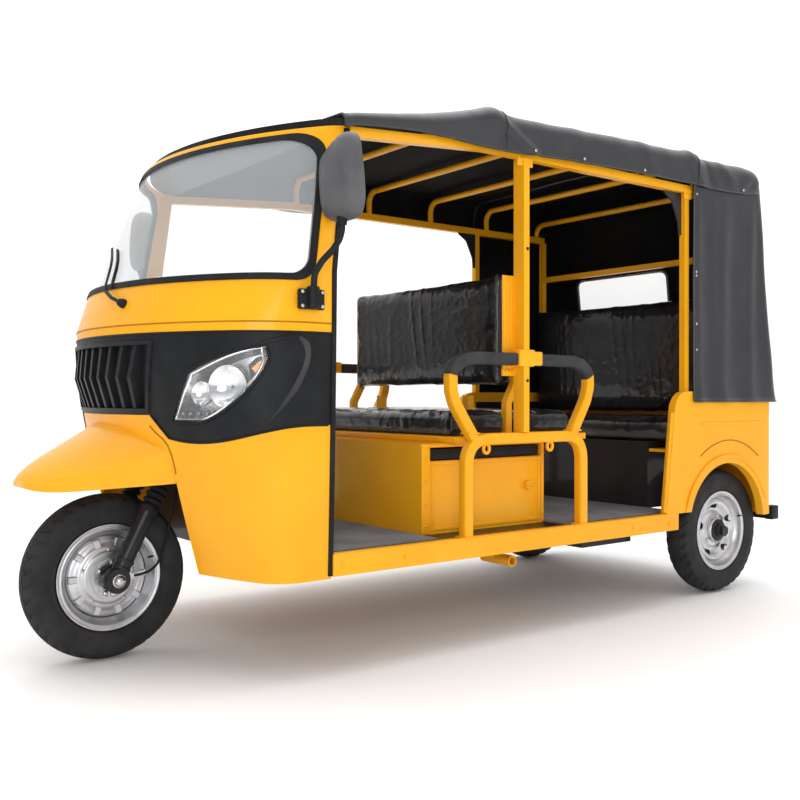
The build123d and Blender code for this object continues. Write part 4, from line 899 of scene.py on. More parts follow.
done("fascia_crescents", bm, crescent_painted_highlight, sharp=60)
bm = bmesh.new()
for path in both([seen(*spot, lift=0.0004) for spot in flowing(CRESCENT_TOP, 4)]):
    swept_into(bm, path, round_section(0.0055, 10, 0.5), (0.8, -0.6, 0))
done("fascia_grooves", bm, grille_plastic)

# seams: under the windscreen, over the fascia and along its lower edge
bm = bmesh.new()
SEAM_Z = 1038
BEARINGS = range(-91, 92, 2)
# the seam under the windscreen is a thin bead in darker orange, painted shade of the crease
seam = [around(turn, SEAM_Z, 0.0002) for turn in BEARINGS]
swept_into(bm, seam, round_section(0.0024, 8), (0, 0, 1))
done("cab_seam_shade", bm, painted_crease_shade)

LOW_EDGE = straight((287, 771), (344, 705), 6)[:-1] + arc3((344, 705), (500, 697), (652, 749), 18)


def low_edge_z(x):
    """Height of the fascia's lower edge at a distance from the middle."""
    for (x0, z0), (x1, z1) in zip(LOW_EDGE, LOW_EDGE[1:]):
        if x <= x1:
            return z0 + (z1 - z0) * (x - x0) / (x1 - x0)
    return LOW_EDGE[-1][1]


line = [front(x, z, 0.0006) for x, z in LOW_EDGE if x < 520]
bearing = math.ceil(math.degrees(math.atan2(line[-1].x, AXLE_Y + 0.424 - line[-1].y)))
for turn in range(bearing + 1, 92, 2):
    height = line[-1].z * 1000
    for _ in range(4):
        height = low_edge_z(around(turn, height).x * 1000)
    line.append(around(turn, height, 0.0006))
bm = bmesh.new()
for path in both(line):
    swept_into(bm, path, round_section(0.0036, 8), (0, 0, 1))
top_edge = [around(turn, 1010, 0.0004) for turn in BEARINGS]
swept_into(bm, top_edge, round_section(0.0030, 8), (0, 0, 1))
done("fascia_edges", bm, black_plastic)

# rubber channel on the cab's rear edge
EDGE = ((436, 304), (437, 366), (441, 600), (446, 900), (451, 1190), (462, 1290), (475, 1400),
        (488, 1500), (499, 1590), (503, 1618))
line = [flank(y - 3, z, 0.0) for y, z in EDGE]
bm = bmesh.new()
for path in both(line):
    swept_into(bm, path, square_section(0.016, 0.014, 0.005), (1, 0, 0))
done("cab_edge_rubber", bm, rubber)

# windscreen wiper
bm = bmesh.new()
spindle = seen(124, 304, lift=0.004)
foot = (spindle - seen(124, 304, lift=-0.02)).normalized()
spindle_cap = ((-0.012, 0.015), (0.006, 0.014), (0.016, 0.010), (0.020, 0.004))
turned_into(bm, spindle_cap, 20, spindle, foot, caps=True)
link = [spindle + foot * 0.012, seen(117, 300, lift=0.020), seen(111.5, 294, lift=0.020)]
swept_into(bm, link, square_section(0.011, 0.006, 0.002), foot)
WIPER_ARM = ((111.5, 294), (110.3, 288), (112.3, 280), (115, 270), (116.5, 261), (116.5, 251))
arm_line = flowing([seen(*spot, lift=0.016) for spot in WIPER_ARM], 4)
swept_into(bm, arm_line, square_section(0.009, 0.006, 0.002), foot)
blade = flowing([seen(x + 3, y, lift=0.006) for x, y in WIPER_ARM[1:]], 4)
swept_into(bm, blade, square_section(0.006, 0.010, 0.002), foot)
done("wiper", bm, black_plastic)

# mirrors: shaped shell, glass facing back, bent arm and bolted foot
MIRROR_ARM = ((662, 363, 1130), (664, 365, 1176), (680, 381, 1212), (702, 404, 1244), (716, 416, 1272),
              (722, 420, 1298),
              (723, 419, 1330), (723, 419, 1380))
# outline of the head as seen from ahead: x and height
MIRROR_OUTLINE = ((700, 1326), (752, 1328), (786, 1340), (801, 1378), (797, 1440), (786, 1510), (774, 1552),
                  (748, 1572),
                  (712, 1566), (664, 1544), (634, 1520), (625, 1480), (628, 1420), (636, 1368), (656, 1334))
MIRROR_MID = Vector((714, 1450))
MIRROR_EDGE = flowing(MIRROR_OUTLINE + MIRROR_OUTLINE[:1], 4)[:-1]


def mirror_ring(scale, y, drop):
    """Outline of the mirror's shell, drawn in towards its middle."""
    ring = []
    for spot in MIRROR_EDGE:
        at = MIRROR_MID + (spot - MIRROR_MID) * scale
        ring.append(mm(at.x, y, at.y - drop))
    return ring


def mirror_pieces(side):
    label = "left" if side > 0 else "right"
    flip = Vector((side, 1, 1))
    bm = bmesh.new()
    # columns: share of the outline, station, drop
    rows = ((0.955, 448, 0), (1.0, 445, 0), (1.0, 434, 0), (0.985, 420, 0), (0.93, 405, 1), (0.82, 394, 2),
            (0.62, 386, 3),
            (0.40, 382, 3), (0.16, 380, 3))
    rings_into(bm, [[p * flip for p in mirror_ring(*row)] for row in rows])
    shell = done("mirror_shell_" + label, bm, mirror_grey)
    bm = bmesh.new()
    rows = ((0.90, 447, 0), (0.90, 449.2, 0), (0.885, 450, 0))
    rings_into(bm, [[p * flip for p in mirror_ring(*row)] for row in rows])
    done("mirror_glass_" + label, bm, mirror_glass)
    bm = bmesh.new()
    line = rounded([mm(*row) for row in MIRROR_ARM], 0.05)
    swept_into(bm, [p * flip for p in line], round_section(0.0095, 16), (0, 1, 0))
    # wide foot plate with the clamp tube standing on its middle
    block_into(bm, mm(side * 653 - 9, 318, 1074), mm(side * 653 + 9, 402, 1132), 0.005)
    clamp = ((-0.060, 0.016), (-0.056, 0.019), (0.0, 0.019), (0.004, 0.014))
    turned_into(bm, clamp, 24, mm(side * 661, 362, 1136), (0, 0, 1), caps=True)
    socket = ((0, 0.014), (0.020, 0.016), (0.030, 0.014))
    turned_into(bm, socket, 24, mm(side * 723, 419, 1312), (0, 0, 1), caps=True)
    done("mirror_arm_" + label, bm, black_plastic)
    spots = [(mm(side * 662, 360 + dy, 1103 + dz), (side, 0, 0)) for dy in (-33, 33) for dz in (-20, 20)]
    heads_piece("mirror_bolts_" + label, spots, 0.0056, steel)
    return shell


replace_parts(mirror_pieces(1), "mirrors")
mirror_pieces(-1)

# instruments and controls behind the windscreen
bm = bmesh.new()
for x in (-55, 55):
    dial = ((0, 0.042), (0.004, 0.044), (0.009, 0.043), (0.010, 0.039), (0.004, 0.037), (0.004, 0.001))
    turned_into(bm, dial, 40, mm(x, 185, 1181), (0, 0.55, 0.83))
done("dial_rims", bm, chrome)
bm = bmesh.new()
for side in (-1, 1):
    grip = leg(side * 205, 800, 45) + Vector((0, 0.030, 0.0))
    tip = grip + Vector((side * 0.115, -0.010, -0.004))
    in_front = Vector((0, -0.010, 0))
    lever = [grip + in_front, grip + Vector((side * 0.03, -0.042, -0.004)), tip + in_front]
    swept_into(bm, rounded(lever, 0.02), square_section(0.012, 0.007, 0.003), (0, 0, 1))
done("hand_levers", bm, steel, STEER)


# Roof cover and rear canvas

# columns: station, hem height, height over the shoulder, rise to the crown
ROOF_LINE = (
    (472, 1613, 1654, 10), (504, 1624, 1662, 12), (587, 1633, 1677, 14), (733, 1645, 1704, 16),
    (866, 1646, 1732, 18), (992, 1641, 1766, 20), (1062, 1639, 1786, 21), (1086, 1639, 1787, 21),
    (1112, 1640, 1777, 18), (1150, 1642, 1772, 16), (1250, 1648, 1776, 14), (1389, 1655, 1779, 16),
    (1606, 1662, 1787, 12), (1833, 1667, 1795, 16), (2035, 1669, 1796, 12), (2080, 1670, 1802, 14),
    (2150, 1671, 1803, 16), (2190, 1668, 1790, 16), (2346, 1668, 1790, 10), (2500, 1676, 1796, 14),
    (2560, 1684, 1788, 14), (2600, 1692, 1776, 12),
)
ROOF_HALF = 662.6
TAIL_RADIUS = 78
SIDE_STEPS, CORNER_STEPS, CROWN_STEPS = 9, 9, 24
BOWS = (1080, 1470, 1835, 2200, 2560)


def along_table(table, station):
    for low, high in zip(table, table[1:]):
        if station <= high[0]:
            share = (station - low[0]) / (high[0] - low[0])
            return [a + share * (b - a) for a, b in zip(low[1:], high[1:])]
    return list(table[-1][1:])


def evened(rows, passes):
    """Averages each row with its neighbours, so that a table reads as a smooth line."""
    for _ in range(passes):
        inner = [[(a + 2 * b + c) / 4 for a, b, c in zip(*three)] for three in zip(rows, rows[1:], rows[2:])]
        rows = [rows[0]] + inner + [rows[-1]]
    return rows


def roof_half_section(hem, top, rise, inset):
    """(x, height) pairs from the hem up round the shoulder to the crown."""
    half = ROOF_HALF - inset
    top = max(top - inset, hem + 3)
    radius = min(46, 0.62 * (top - hem))
    side = top - radius
    line = [(half, hem + (side - hem) * i / SIDE_STEPS) for i in range(SIDE_STEPS)]
    for i in range(CORNER_STEPS):
        turn = math.pi / 2 * i / CORNER_STEPS
        line.append((half - radius + radius * math.cos(turn), side + radius * math.sin(turn)))
    inner = half - radius
    for i in range(CROWN_STEPS + 1):
        share = 1 - i / CROWN_STEPS
        line.append((inner * share, top + rise * (1 - share ** 2)))
    return line


def bow_sag(station):
    """How far the cover hangs between two bows, in millimetres."""
    for low, high in zip(BOWS, BOWS[1:]):
        if low < station < high:
            return 9 * math.sin(math.pi * (station - low) / (high - low)) ** 2
    return 0


def near_line(y, z, start, end, wide):
    """1 on a line in side view, falling to 0 at the given distance from it."""
    a, b = Vector(start), Vector(end)
    p = Vector((y, z))
    share = max(0, min(1, (p - a).dot(b - a) / (b - a).length_squared))
    return math.exp(-((p - a - (b - a) * share).length / wide) ** 2)


# columns: start and end in side view, width, height of the folds that run from bow and pillar tops
ROOF_FOLDS = (
    ((1120, 1722), (1250, 1648), 15, 9),
    ((1128, 1700), (1238, 1636), 10, -6),
    ((1090, 1780), (1060, 1650), 60, 5),
    ((1470, 1775), (1420, 1665), 40, 3),
    ((1835, 1785), (1890, 1675), 40, 3),
    ((2130, 1800), (2190, 1672), 26, 7),
    ((2215, 1770), (2260, 1680), 16, -4),
    ((2330, 1775), (2420, 1690), 30, 5),
    ((2470, 1700), (2560, 1770), 22, 5),
    ((2420, 1690), (2600, 1705), 20, -4),
)


def roof_fold(x, y, z):
    """Outward push of the side's folds and of the small waves all over, in millimetres."""
    push = sum(high * near_line(y, z, start, end, wide) for start, end, wide, high in ROOF_FOLDS)
    push *= max(0, min(1, (abs(x) - 500) / 120))
    spot = Vector((x / 260, y / 210 + (3 if x < 0 else 0), z / 160))
    return push + 3.2 * noise.noise(spot) + 1.1 * noise.noise(spot * 3.1)


stations = [472 + i * 14.0 for i in range(int((2582 - 472) / 14) + 1)]
rows = evened([along_table(ROOF_LINE, y) for y in stations], 3)
sections = [(y, row, 0) for y, row in zip(stations, rows)]
for i in range(1, 13):
    turn = math.pi / 2 * i / 12
    tail_y = stations[-1] + TAIL_RADIUS * math.sin(turn)
    sections.append((tail_y, rows[-1], TAIL_RADIUS * (1 - math.cos(turn))))


def roof_grid(lift):
    grid = []
    for y, (hem, top, rise), inset in sections:
        line = roof_half_section(hem, top, rise, inset)
        whole = line + [(-x, z) for x, z in reversed(line[:-1])]
        row = []
        for i, (x, z) in enumerate(whole):
            before, after = whole[max(i - 1, 0)], whole[min(i + 1, len(whole) - 1)]
            out = Vector((after[1] - before[1], 0, before[0] - after[0])).normalized()
            hang = bow_sag(y) * max(0, 1 - (x / 640) ** 4)
            push = roof_fold(x, y, z) * (0.35 if inset > 40 else 1) + lift
            row.append(mm(x + out.x * push, y, z + out.z * push - hang))
        grid.append(row)
    return grid


def grid_mesh(name, grid, skip=None):
    wide = len(grid[0])
    faces = []
    for j in range(len(grid) - 1):
        for i in range(wide - 1):
            if skip is None or not skip(i, j):
                faces.append((j * wide + i, j * wide + i + 1, (j + 1) * wide + i + 1, (j + 1) * wide + i))
    return mesh_of(name, [p for row in grid for p in row], faces)


def thicken(obj, depth):
    shell = obj.modifiers.new("thickness", "SOLIDIFY")
    shell.thickness = depth
    shell.offset = 0
    # inner face in the darker copy of the canvas, painted shade
    obj.data.materials.append(canvas_underside_shade)
    shell.material_offset = 1


grid = roof_grid(0)
mesh = grid_mesh("roof_cover", grid)
mesh.flip_normals()
roof = piece("roof_cover", mesh, canvas)
thicken(roof, 0.0024)
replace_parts(roof, "roof_canvas")

bm = bmesh.new()
# corded seams over the first bow and at the cover's rear lap, and the bead round its hem
for station, radius in ((1112, 0.0042), (2168, 0.0050)):
    row = min(range(len(sections)), key=lambda i: abs(sections[i][0] - station))
    swept_into(bm, grid[row], round_section(radius, 8), (0, 1, 0))
for column in (0, len(grid[0]) - 1):
    swept_into(bm, [row[column] for row in grid[:-4]], round_section(0.0036, 8), (0, 0, 1))
swept_into(bm, grid[0], round_section(0.0040, 8), (0, 1, 0))
seams = done("roof_seams", bm, canvas)

# flat stitched band above the hem on each side
bm = bmesh.new()
for side in (1, -1):
    rings = []
    for j, row in enumerate(grid[:-6]):
        line = row[:3] if side > 0 else row[-1:-4:-1]
        out = Vector((side * 0.0022, 0, 0))
        low, high = line[0], line[0] + (line[2] - line[0]).normalized() * 0.022
        rings.append([low, high, high + out, low + out])
    rings_into(bm, rings)
hem_band = done("roof_hem_band", bm, canvas)

spots = []
for station in (1240, 1500, 1835, 2470):
    row = min(range(len(sections)), key=lambda i: abs(sections[i][0] - station))
    point = grid[row][0] + Vector((0.0034, 0, 0.012))
    spots.append((point, (1, 0, 0)))
    spots.append((Vector((-point.x, point.y, point.z)), (-1, 0, 0)))
hem_screws = heads_piece("roof_hem_screws", spots, 0.0055, steel)

# Rear canvas: side, corner, back, corner, side

CANVAS_X, CANVAS_FRONT, CANVAS_LOW, CANVAS_HIGH = 657.3, 2150, 806, 1722
BACK_LOW, BACK_SLOPE, BACK_CORNER = 2766.7, 0.12854, 64.7
WINDOW = (-165, 1322.5, 284, 107.5, 40)
SIDE_COLUMNS, TURN_COLUMNS, BACK_COLUMNS, HEIGHT_ROWS = 34, 10, 78, 62


def canvas_plan(height):
    """Plan line of the rear canvas at a height: (x, station, outward x, outward y)."""
    back = BACK_LOW - (height - 812) * BACK_SLOPE
    turn_y = back - BACK_CORNER
    inner = CANVAS_X - BACK_CORNER
    deep = turn_y - CANVAS_FRONT
    line = [(CANVAS_X, CANVAS_FRONT + deep * i / SIDE_COLUMNS, 1, 0) for i in range(SIDE_COLUMNS)]
    for i in range(TURN_COLUMNS):
        turn = math.pi / 2 * i / TURN_COLUMNS
        out_x, out_y = math.cos(turn), math.sin(turn)
        line.append((inner + BACK_CORNER * out_x, turn_y + BACK_CORNER * out_y, out_x, out_y))
    half = BACK_COLUMNS // 2
    line += [(inner * (1 - i / half), back, 0, 1) for i in range(half + 1)]
    return line + [(-x, y, -ox, oy) for x, y, ox, oy in reversed(line[:-1])]


# columns: station of a fold's foot and head, width, height, on the near side and mirrored
SIDE_FOLDS = ((2190, 2178, 16, 4.5), (2262, 2240, 34, -4), (2345, 2370, 30, 4), (2440, 2425, 46, -3.5),
              (2530, 2560, 28, 4.5),
              (2610, 2590, 34, -3), (2690, 2615, 26, 4))


def canvas_fold(x, y, z):
    """Outward push of the rear canvas in millimetres, small under the roof and flaring at its foot."""
    high = (z - CANVAS_LOW) / (CANVAS_HIGH - CANVAS_LOW)
    push = 0
    if abs(x) > 560:
        for foot, head, wide, tall in SIDE_FOLDS:
            line = foot + (head - foot) * high
            push += tall * math.exp(-((y - line) / wide) ** 2) * (1 - 0.35 * high)
    shift = 5.0 if x < 0 else 0.0
    spot = Vector((x / 190 + shift, y / 150, z / 420))
    push += 4.0 * noise.noise(spot) + 1.8 * noise.noise(spot * 2.7 + Vector((7, 1, 3)))
    foot = max(0, 1 - (z - CANVAS_LOW) / 110)
    push += foot ** 2 * (6 + 3.2 * math.sin(y / 33 + x / 57))
    # drawn in a little along the waist, where nothing holds it off
    push -= 5 * math.sin(math.pi * high) ** 2 * (1 if abs(x) > 560 else 0.6)
    calm = max(0, min(1, (1680 - z) / 160))
    edge = min(1, (y - CANVAS_FRONT + 20) / 60) if abs(x) > 600 else 1
    return push * calm * edge


def snapped(x, z):
    """Point moved onto the rounded window outline along the line from the window's middle."""
    mid_x, mid_z = WINDOW[:2]
    low, high = 0.2, 4.0
    for _ in range(30):
        k = (low + high) / 2
        if window_depth(mid_x + (x - mid_x) * k, mid_z + (z - mid_z) * k) > 0:
            low = k
        else:
            high = k
    return mid_x + (x - mid_x) * low, mid_z + (z - mid_z) * low


def window_depth(x, z):
    """Distance inside the rounded window outline, below zero outside it."""
    mid_x, mid_z, half, tall, corner = WINDOW
    a = max(abs(x - mid_x) - half + corner, 0)
    b = max(abs(z - mid_z) - tall + corner, 0)
    inner = min(half - abs(x - mid_x), tall - abs(z - mid_z))
    return corner - math.hypot(a, b) if a > 0 and b > 0 else inner


heights = [CANVAS_LOW + (CANVAS_HIGH - CANVAS_LOW) * j / HEIGHT_ROWS for j in range(HEIGHT_ROWS + 1)]
plan = [canvas_plan(z) for z in heights]
wide = len(plan[0])
back_from, back_to = SIDE_COLUMNS + TURN_COLUMNS, wide - SIDE_COLUMNS - TURN_COLUMNS


def in_window(i, j):
    if not back_from <= i < back_to - 1:
        return False
    x = (plan[j][i][0] + plan[j][i + 1][0]) / 2
    return window_depth(x, (heights[j] + heights[j + 1]) / 2) > 0


hole = {(i, j) for j in range(HEIGHT_ROWS) for i in range(wide - 1) if in_window(i, j)}
rim = {(i + a, j + b) for i, j in hole for a in (0, 1) for b in (0, 1)}
inside = {(i, j) for i, j in rim if all((i - a, j - b) in hole for a in (0, 1) for b in (0, 1))}
grid = []
for j, z in enumerate(heights):
    row = []
    for i, (x, y, ox, oy) in enumerate(plan[j]):
        height = z
        if (i, j) in rim and (i, j) not in inside:
            x, height = snapped(x, z)
            y = BACK_LOW - (height - 812) * BACK_SLOPE
        push = canvas_fold(x, y, height)
        if abs(x - WINDOW[0]) < WINDOW[2] + 60 and abs(height - WINDOW[1]) < WINDOW[3] + 60 and y > 2600:
            push *= 0.25
        row.append(mm(x + ox * push, y + oy * push, height))
    grid.append(row)
mesh = grid_mesh("rear_cover", grid, lambda i, j: (i, j) in hole)
bm = bmesh.new()
bm.from_mesh(mesh)
bmesh.ops.delete(bm, geom=[v for v in bm.verts if not v.link_faces], context="VERTS")
bm.to_mesh(mesh)
bm.free()
rear = piece("rear_cover", mesh, canvas)
thicken(rear, 0.0024)
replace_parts(rear, "rear_canvas")

bm = bmesh.new()
# bead along the foot and up both front edges
bead = [row[0] for row in reversed(grid[1:])] + list(grid[0]) + [row[-1] for row in grid[1:]]
swept_into(bm, bead, round_section(0.0042, 8), (1, 0.3, 0.2))
# welt round the window
welt = []
for i in range(96):
    turn = 2 * math.pi * i / 96
    x, z = snapped(WINDOW[0] + 100 * math.cos(turn), WINDOW[1] + 40 * math.sin(turn))
    welt.append(mm(x, BACK_LOW - (z - 812) * BACK_SLOPE + 1, z))
swept_into(bm, welt, square_section(0.018, 0.006, 0.0025), (0, 1, 0.13), closed=True)
rear_welt = done("rear_cover_welt", bm, canvas)

# studs up the front edges
spots = []
for z in (1010, 1120, 1305, 1330, 1640):
    j = min(range(len(heights)), key=lambda k: abs(heights[k] - z))
    for i, side in ((1, 1), (wide - 2, -1)):
        spots.append((grid[j][i] + Vector((side * 0.002, 0, 0)), (side, 0, 0)))
rear_studs = heads_piece("rear_cover_studs", spots, 0.0050, steel)


# Padded seats: each starts as a smaller block, is blown up by cloth simulation and then creased

# columns: name, node, low corner, high corner, voxel, cap, faces kept flat, fill
PADS = (
    ("driver_seat_pad", "driver_cushion", (-519, 1003, 692), (519, 1262, 765), 0.0080, 0.012, "low", 0.75),
    ("middle_seat_pad", "middle_cushion", (-519, 1318, 692), (519, 1602, 765), 0.0080, 0.012, "low", 0.75),
    ("front_back_pad", "seat_backrest", (-458, 1276, 864), (458, 1364, 1266), 0.0080, 0.010, "", 0.7),
    ("rear_seat_pad", "rear_cushion", (-573, 2132, 641), (573, 2546, 724), 0.0100, 0.018, "low", 0.7),
    ("rear_back_pad", "rear_backrest", (-573, 2492, 740), (573, 2580, 1274), 0.0100, 0.018, "back", 0.7),
)
SWELL_FRAMES = 20


def voxelled(name, low, high, voxel):
    """Rounded block made of even small faces."""
    bm = bmesh.new()
    block_into(bm, low, high, 0.020)
    mesh = bpy.data.meshes.new(name)
    bm.to_mesh(mesh)
    bm.free()
    obj = bpy.data.objects.new(name, mesh)
    scene.collection.objects.link(obj)
    remesh = obj.modifiers.new("voxels", "REMESH")
    remesh.mode = "VOXEL"
    remesh.voxel_size = voxel
    obj.data = bpy.data.meshes.new_from_object(obj.evaluated_get(bpy.context.evaluated_depsgraph_get()))
    obj.modifiers.clear()
    return obj


def swelled(obj, cap):
    """Blows the block up under pressure; no point moves further than the cap."""
    rest = [v.co.copy() for v in obj.data.vertices]
    cloth = obj.modifiers.new("swell", "CLOTH")
    cloth.settings.quality = 4
    cloth.settings.use_pressure = True
    cloth.settings.uniform_pressure_force = 4
    cloth.settings.tension_stiffness = 9
    cloth.settings.compression_stiffness = 9
    cloth.settings.effector_weights.gravity = 0
    cloth.point_cache.frame_start = 1
    cloth.point_cache.frame_end = SWELL_FRAMES
    for number in range(1, SWELL_FRAMES + 1):
        scene.frame_set(number)
    made = obj.evaluated_get(bpy.context.evaluated_depsgraph_get()).to_mesh()
    moved = [v.co.copy() for v in made.vertices]
    obj.modifiers.clear()
    scene.frame_set(1)
    for vert, start, end in zip(obj.data.vertices, rest, moved):
        move = end - start
        if move.length > cap:
            move *= cap / move.length
        vert.co = start + move


def ridge(spot, sharp):
    return (1 - abs(noise.noise(spot))) ** sharp


def film_creases(point, normal):
    """Height of the wrap's creases: streaks down upright faces, slanting ones on level faces and edges."""
    x, y, z = point
    upright = 1 - abs(normal.z)
    patch = max(0, min(1, 0.40 + 1.5 * noise.noise(Vector((x * 3.7, 3, z * 2.2)))))
    streak = patch * ridge(Vector((x * 14 + z * 1.5, 2.2, z * 0.8 + 4)), 9)
    slant = ridge(Vector((x * 6 + y * 7, y * 8 - x * 4, z * 9)), 8)
    fine = ridge(Vector((x * 26 + y * 9, y * 20, z * 22)), 6)
    return 0.0036 * upright * streak + 0.0034 * (1 - 0.75 * upright) * slant + 0.0009 * fine


def creased(obj, low, high, flat):
    mesh = obj.data
    normals = [v.normal.copy() for v in mesh.vertices]
    for vert, normal in zip(mesh.vertices, normals):
        vert.co += normal * film_creases(vert.co, normal)
        if flat == "low" and vert.co.z < low[2] + 0.006:
            vert.co.z = low[2]
        if flat == "back" and vert.co.y > high[1] - 0.008:
            vert.co.y = high[1]


for name, node, low, high, voxel, cap, flat, fill in PADS:
    low, high = mm(*low), mm(*high)
    pad = voxelled(name, low, high, voxel)
    swelled(pad, cap)
    creased(pad, low, high, flat)
    piece_mesh = pad.data
    bpy.data.objects.remove(pad)
    pad = piece(name, piece_mesh, vinyl)
    pad.modifiers.new("smooth", "SUBSURF").levels = 1
    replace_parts(pad, node)


# Loose edges of the clear wrap on the seats


def film_strip(name, start, end, out, width, waves, seed):
    """Crumpled edge of clear film from start to end, standing off towards out."""
    start, end, out = Vector(start), Vector(end), Vector(out)
    along = end - start
    side = along.cross(out).normalized()
    grid = []
    for j in range(7):
        row = []
        for i in range(waves * 6 + 1):
            t = i / (waves * 6)
            spot = Vector((t * waves + seed, j * 0.55, seed * 3.1))
            reach = width * (j / 6) * (0.55 + 0.75 * abs(noise.noise(Vector((t * waves * 0.6, seed, 1)))))
            lift = 0.0022 + 0.006 * noise.noise(spot) * (j / 6) + 0.0022 * abs(noise.noise(spot * 2.3))
            row.append(start + along * t + side * reach + out * lift)
        grid.append(row)
    return piece(name, grid_mesh(name, grid), wrap_film)


film_strip("wrap_edge_back", mm(464, 1274, 870), mm(464, 1274, 1264), (0, -1, 0), -0.030, 16, 1.7)
film_strip("wrap_edge_driver", mm(512, 1000, 700), mm(-512, 1000, 700), (0, -1, 0), 0.022, 30, 4.2)
film_strip("wrap_edge_end_front", mm(532, 1010, 696), mm(532, 1255, 696), (1, 0, 0), 0.040, 12, 6.3)
film_strip("wrap_edge_end_middle", mm(532, 1325, 696), mm(532, 1596, 696), (1, 0, 0), 0.040, 12, 8.8)
film_strip("wrap_edge_rear", mm(560, 2122, 655), mm(-560, 2122, 655), (0, -1, 0), 0.034, 34, 2.6)


# Handrails, seat box, pillars and floor

RAIL_X = 622
TUBE = square_section(0.038, 0.038, 0.008)
LOOP_TUBE = square_section(0.0372, 0.0372, 0.008)
SLEEVE = square_section(0.0425, 0.0425, 0.0105)
# columns: station and height of the hoop on the sill, and of the loops above it
HOOP = ((974, 362), (974, 685), (1526, 685), (1526, 362))
LOOP_FRONT = ((1016, 672), (956, 756), (922, 806), (908, 846), (908, 906))
LOOP_REAR = ((1460, 672), (1512, 756), (1546, 812), (1562, 862), (1560, 904))
GRIP_FRONT = ((908, 896), (911, 912), (930, 932), (966, 948), (1010, 953), (1200, 953))
GRIP_REAR = ((1290, 953), (1474, 951), (1520, 940), (1546, 921), (1559, 898))


def rail_line(side, points, bend, steps=10):
    return rounded([mm(side * RAIL_X, y, z) for y, z in points], bend, steps)


bm = bmesh.new()
for side in (1, -1):
    swept_into(bm, rail_line(side, HOOP, 0.090), TUBE, (1, 0, 0))
    for points in (LOOP_FRONT, LOOP_REAR):
        swept_into(bm, rail_line(side, points, 0.080, 5), LOOP_TUBE, (1, 0, 0))
rail = done("rail_tubes", bm, yellow)
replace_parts(rail, "handrails")

bm = bmesh.new()
for side in (1, -1):
    # grips over the top bar, from each shoulder to the clamp at the middle pillar
    swept_into(bm, rail_line(side, GRIP_FRONT, 0.070, 5), SLEEVE, (1, 0, 0))
    swept_into(bm, rail_line(side, GRIP_REAR, 0.070, 5), SLEEVE, (1, 0, 0))
done("rail_grips", bm, grip_foam)

bm = bmesh.new()
for side in (1, -1):
    # clamp block round the pillar and its shorter rear half
    block_into(bm, mm(side * RAIL_X - 30, 1192, 928), mm(side * RAIL_X + 30, 1264, 986), 0.006)
    block_into(bm, mm(side * RAIL_X - 27, 1258, 932), mm(side * RAIL_X + 27, 1304, 980), 0.006)
    # feet of the hoop on the sill
    for y in (974, 1526):
        block_into(bm, mm(side * RAIL_X - 26, y - 26, 364), mm(side * RAIL_X + 26, y + 26, 370), 0.002)
    # ring lugs under the middle bar
    for y in (1056, 1356):
        ring = [mm(side * (RAIL_X + 8), y + 13 * math.cos(t), 653 + 15 * math.sin(t)) for t in
                [2 * math.pi * i / 20 for i in range(20)]]
        swept_into(bm, ring, square_section(0.010, 0.010, 0.003), (1, 0, 0), closed=True)
done("rail_clamps", bm, yellow)

# weld beads where the loops meet the middle bar
bm = bmesh.new()
for side in (1, -1):
    for y in (992, 1480):
        for x in (-19, 19):
            bead = [mm(side * (RAIL_X + x), y - 24 + 5 * i, 704.5 + 1.0 * (i % 2)) for i in range(11)]
            swept_into(bm, bead, round_section(0.0028, 6), (0, 0, 1))
done("rail_welds", bm, yellow)

# Pillar plates: ribbed guard beside the middle pillar, brackets at the roof and a gusset at the rear pillar
bm = bmesh.new()
for side in (1, -1):
    x = side * 596
    block_into(bm, mm(x - 3, 1160, 905), mm(x + 3, 1224, 1240), 0.002)
    for y in (1168, 1184, 1200, 1216):
        block_into(bm, mm(x - 2 + side * 4, y - 4, 912), mm(x + 2 + side * 4, y + 4, 1234), 0.0018)
    block_into(bm, mm(x - 5, 1158, 896), mm(x + 6, 1220, 922), 0.003)
    # plates that hold the pillar tops to the rail
    block_into(bm, mm(side * 638 - 3, 1190, 1610), mm(side * 638 + 3, 1262, 1656), 0.002)
    block_into(bm, mm(side * 638 - 3, 2108, 1612), mm(side * 638 + 3, 2156, 1656), 0.002)
done("pillar_plates", bm, yellow)

GUSSET = ((2119, 1637), (2119, 1470), (2106, 1470), (2100, 1520), (2060, 1600), (2010, 1630), (2010, 1637))
bm = bmesh.new()
for side in (1, -1):
    rings = []
    for x in (side * 612, side * 618):
        rings.append([mm(x, y, z) for y, z in GUSSET])
    rings_into(bm, rings)
done("pillar_gussets", bm, canvas)

spots = [(mm(641, y, z), (1, 0, 0)) for y, z in ((1208, 1634), (1246, 1634), (2120, 1628), (2146, 1642))]
heads_piece("pillar_bolts", mirrored(spots), 0.0058, yellow)
# dark screws in the middle pillar
spots = [(mm(647, 1230, z), (1, 0, 0)) for z in (880, 1330)]
heads_piece("pillar_screws", mirrored(spots), 0.0058, black_paint)

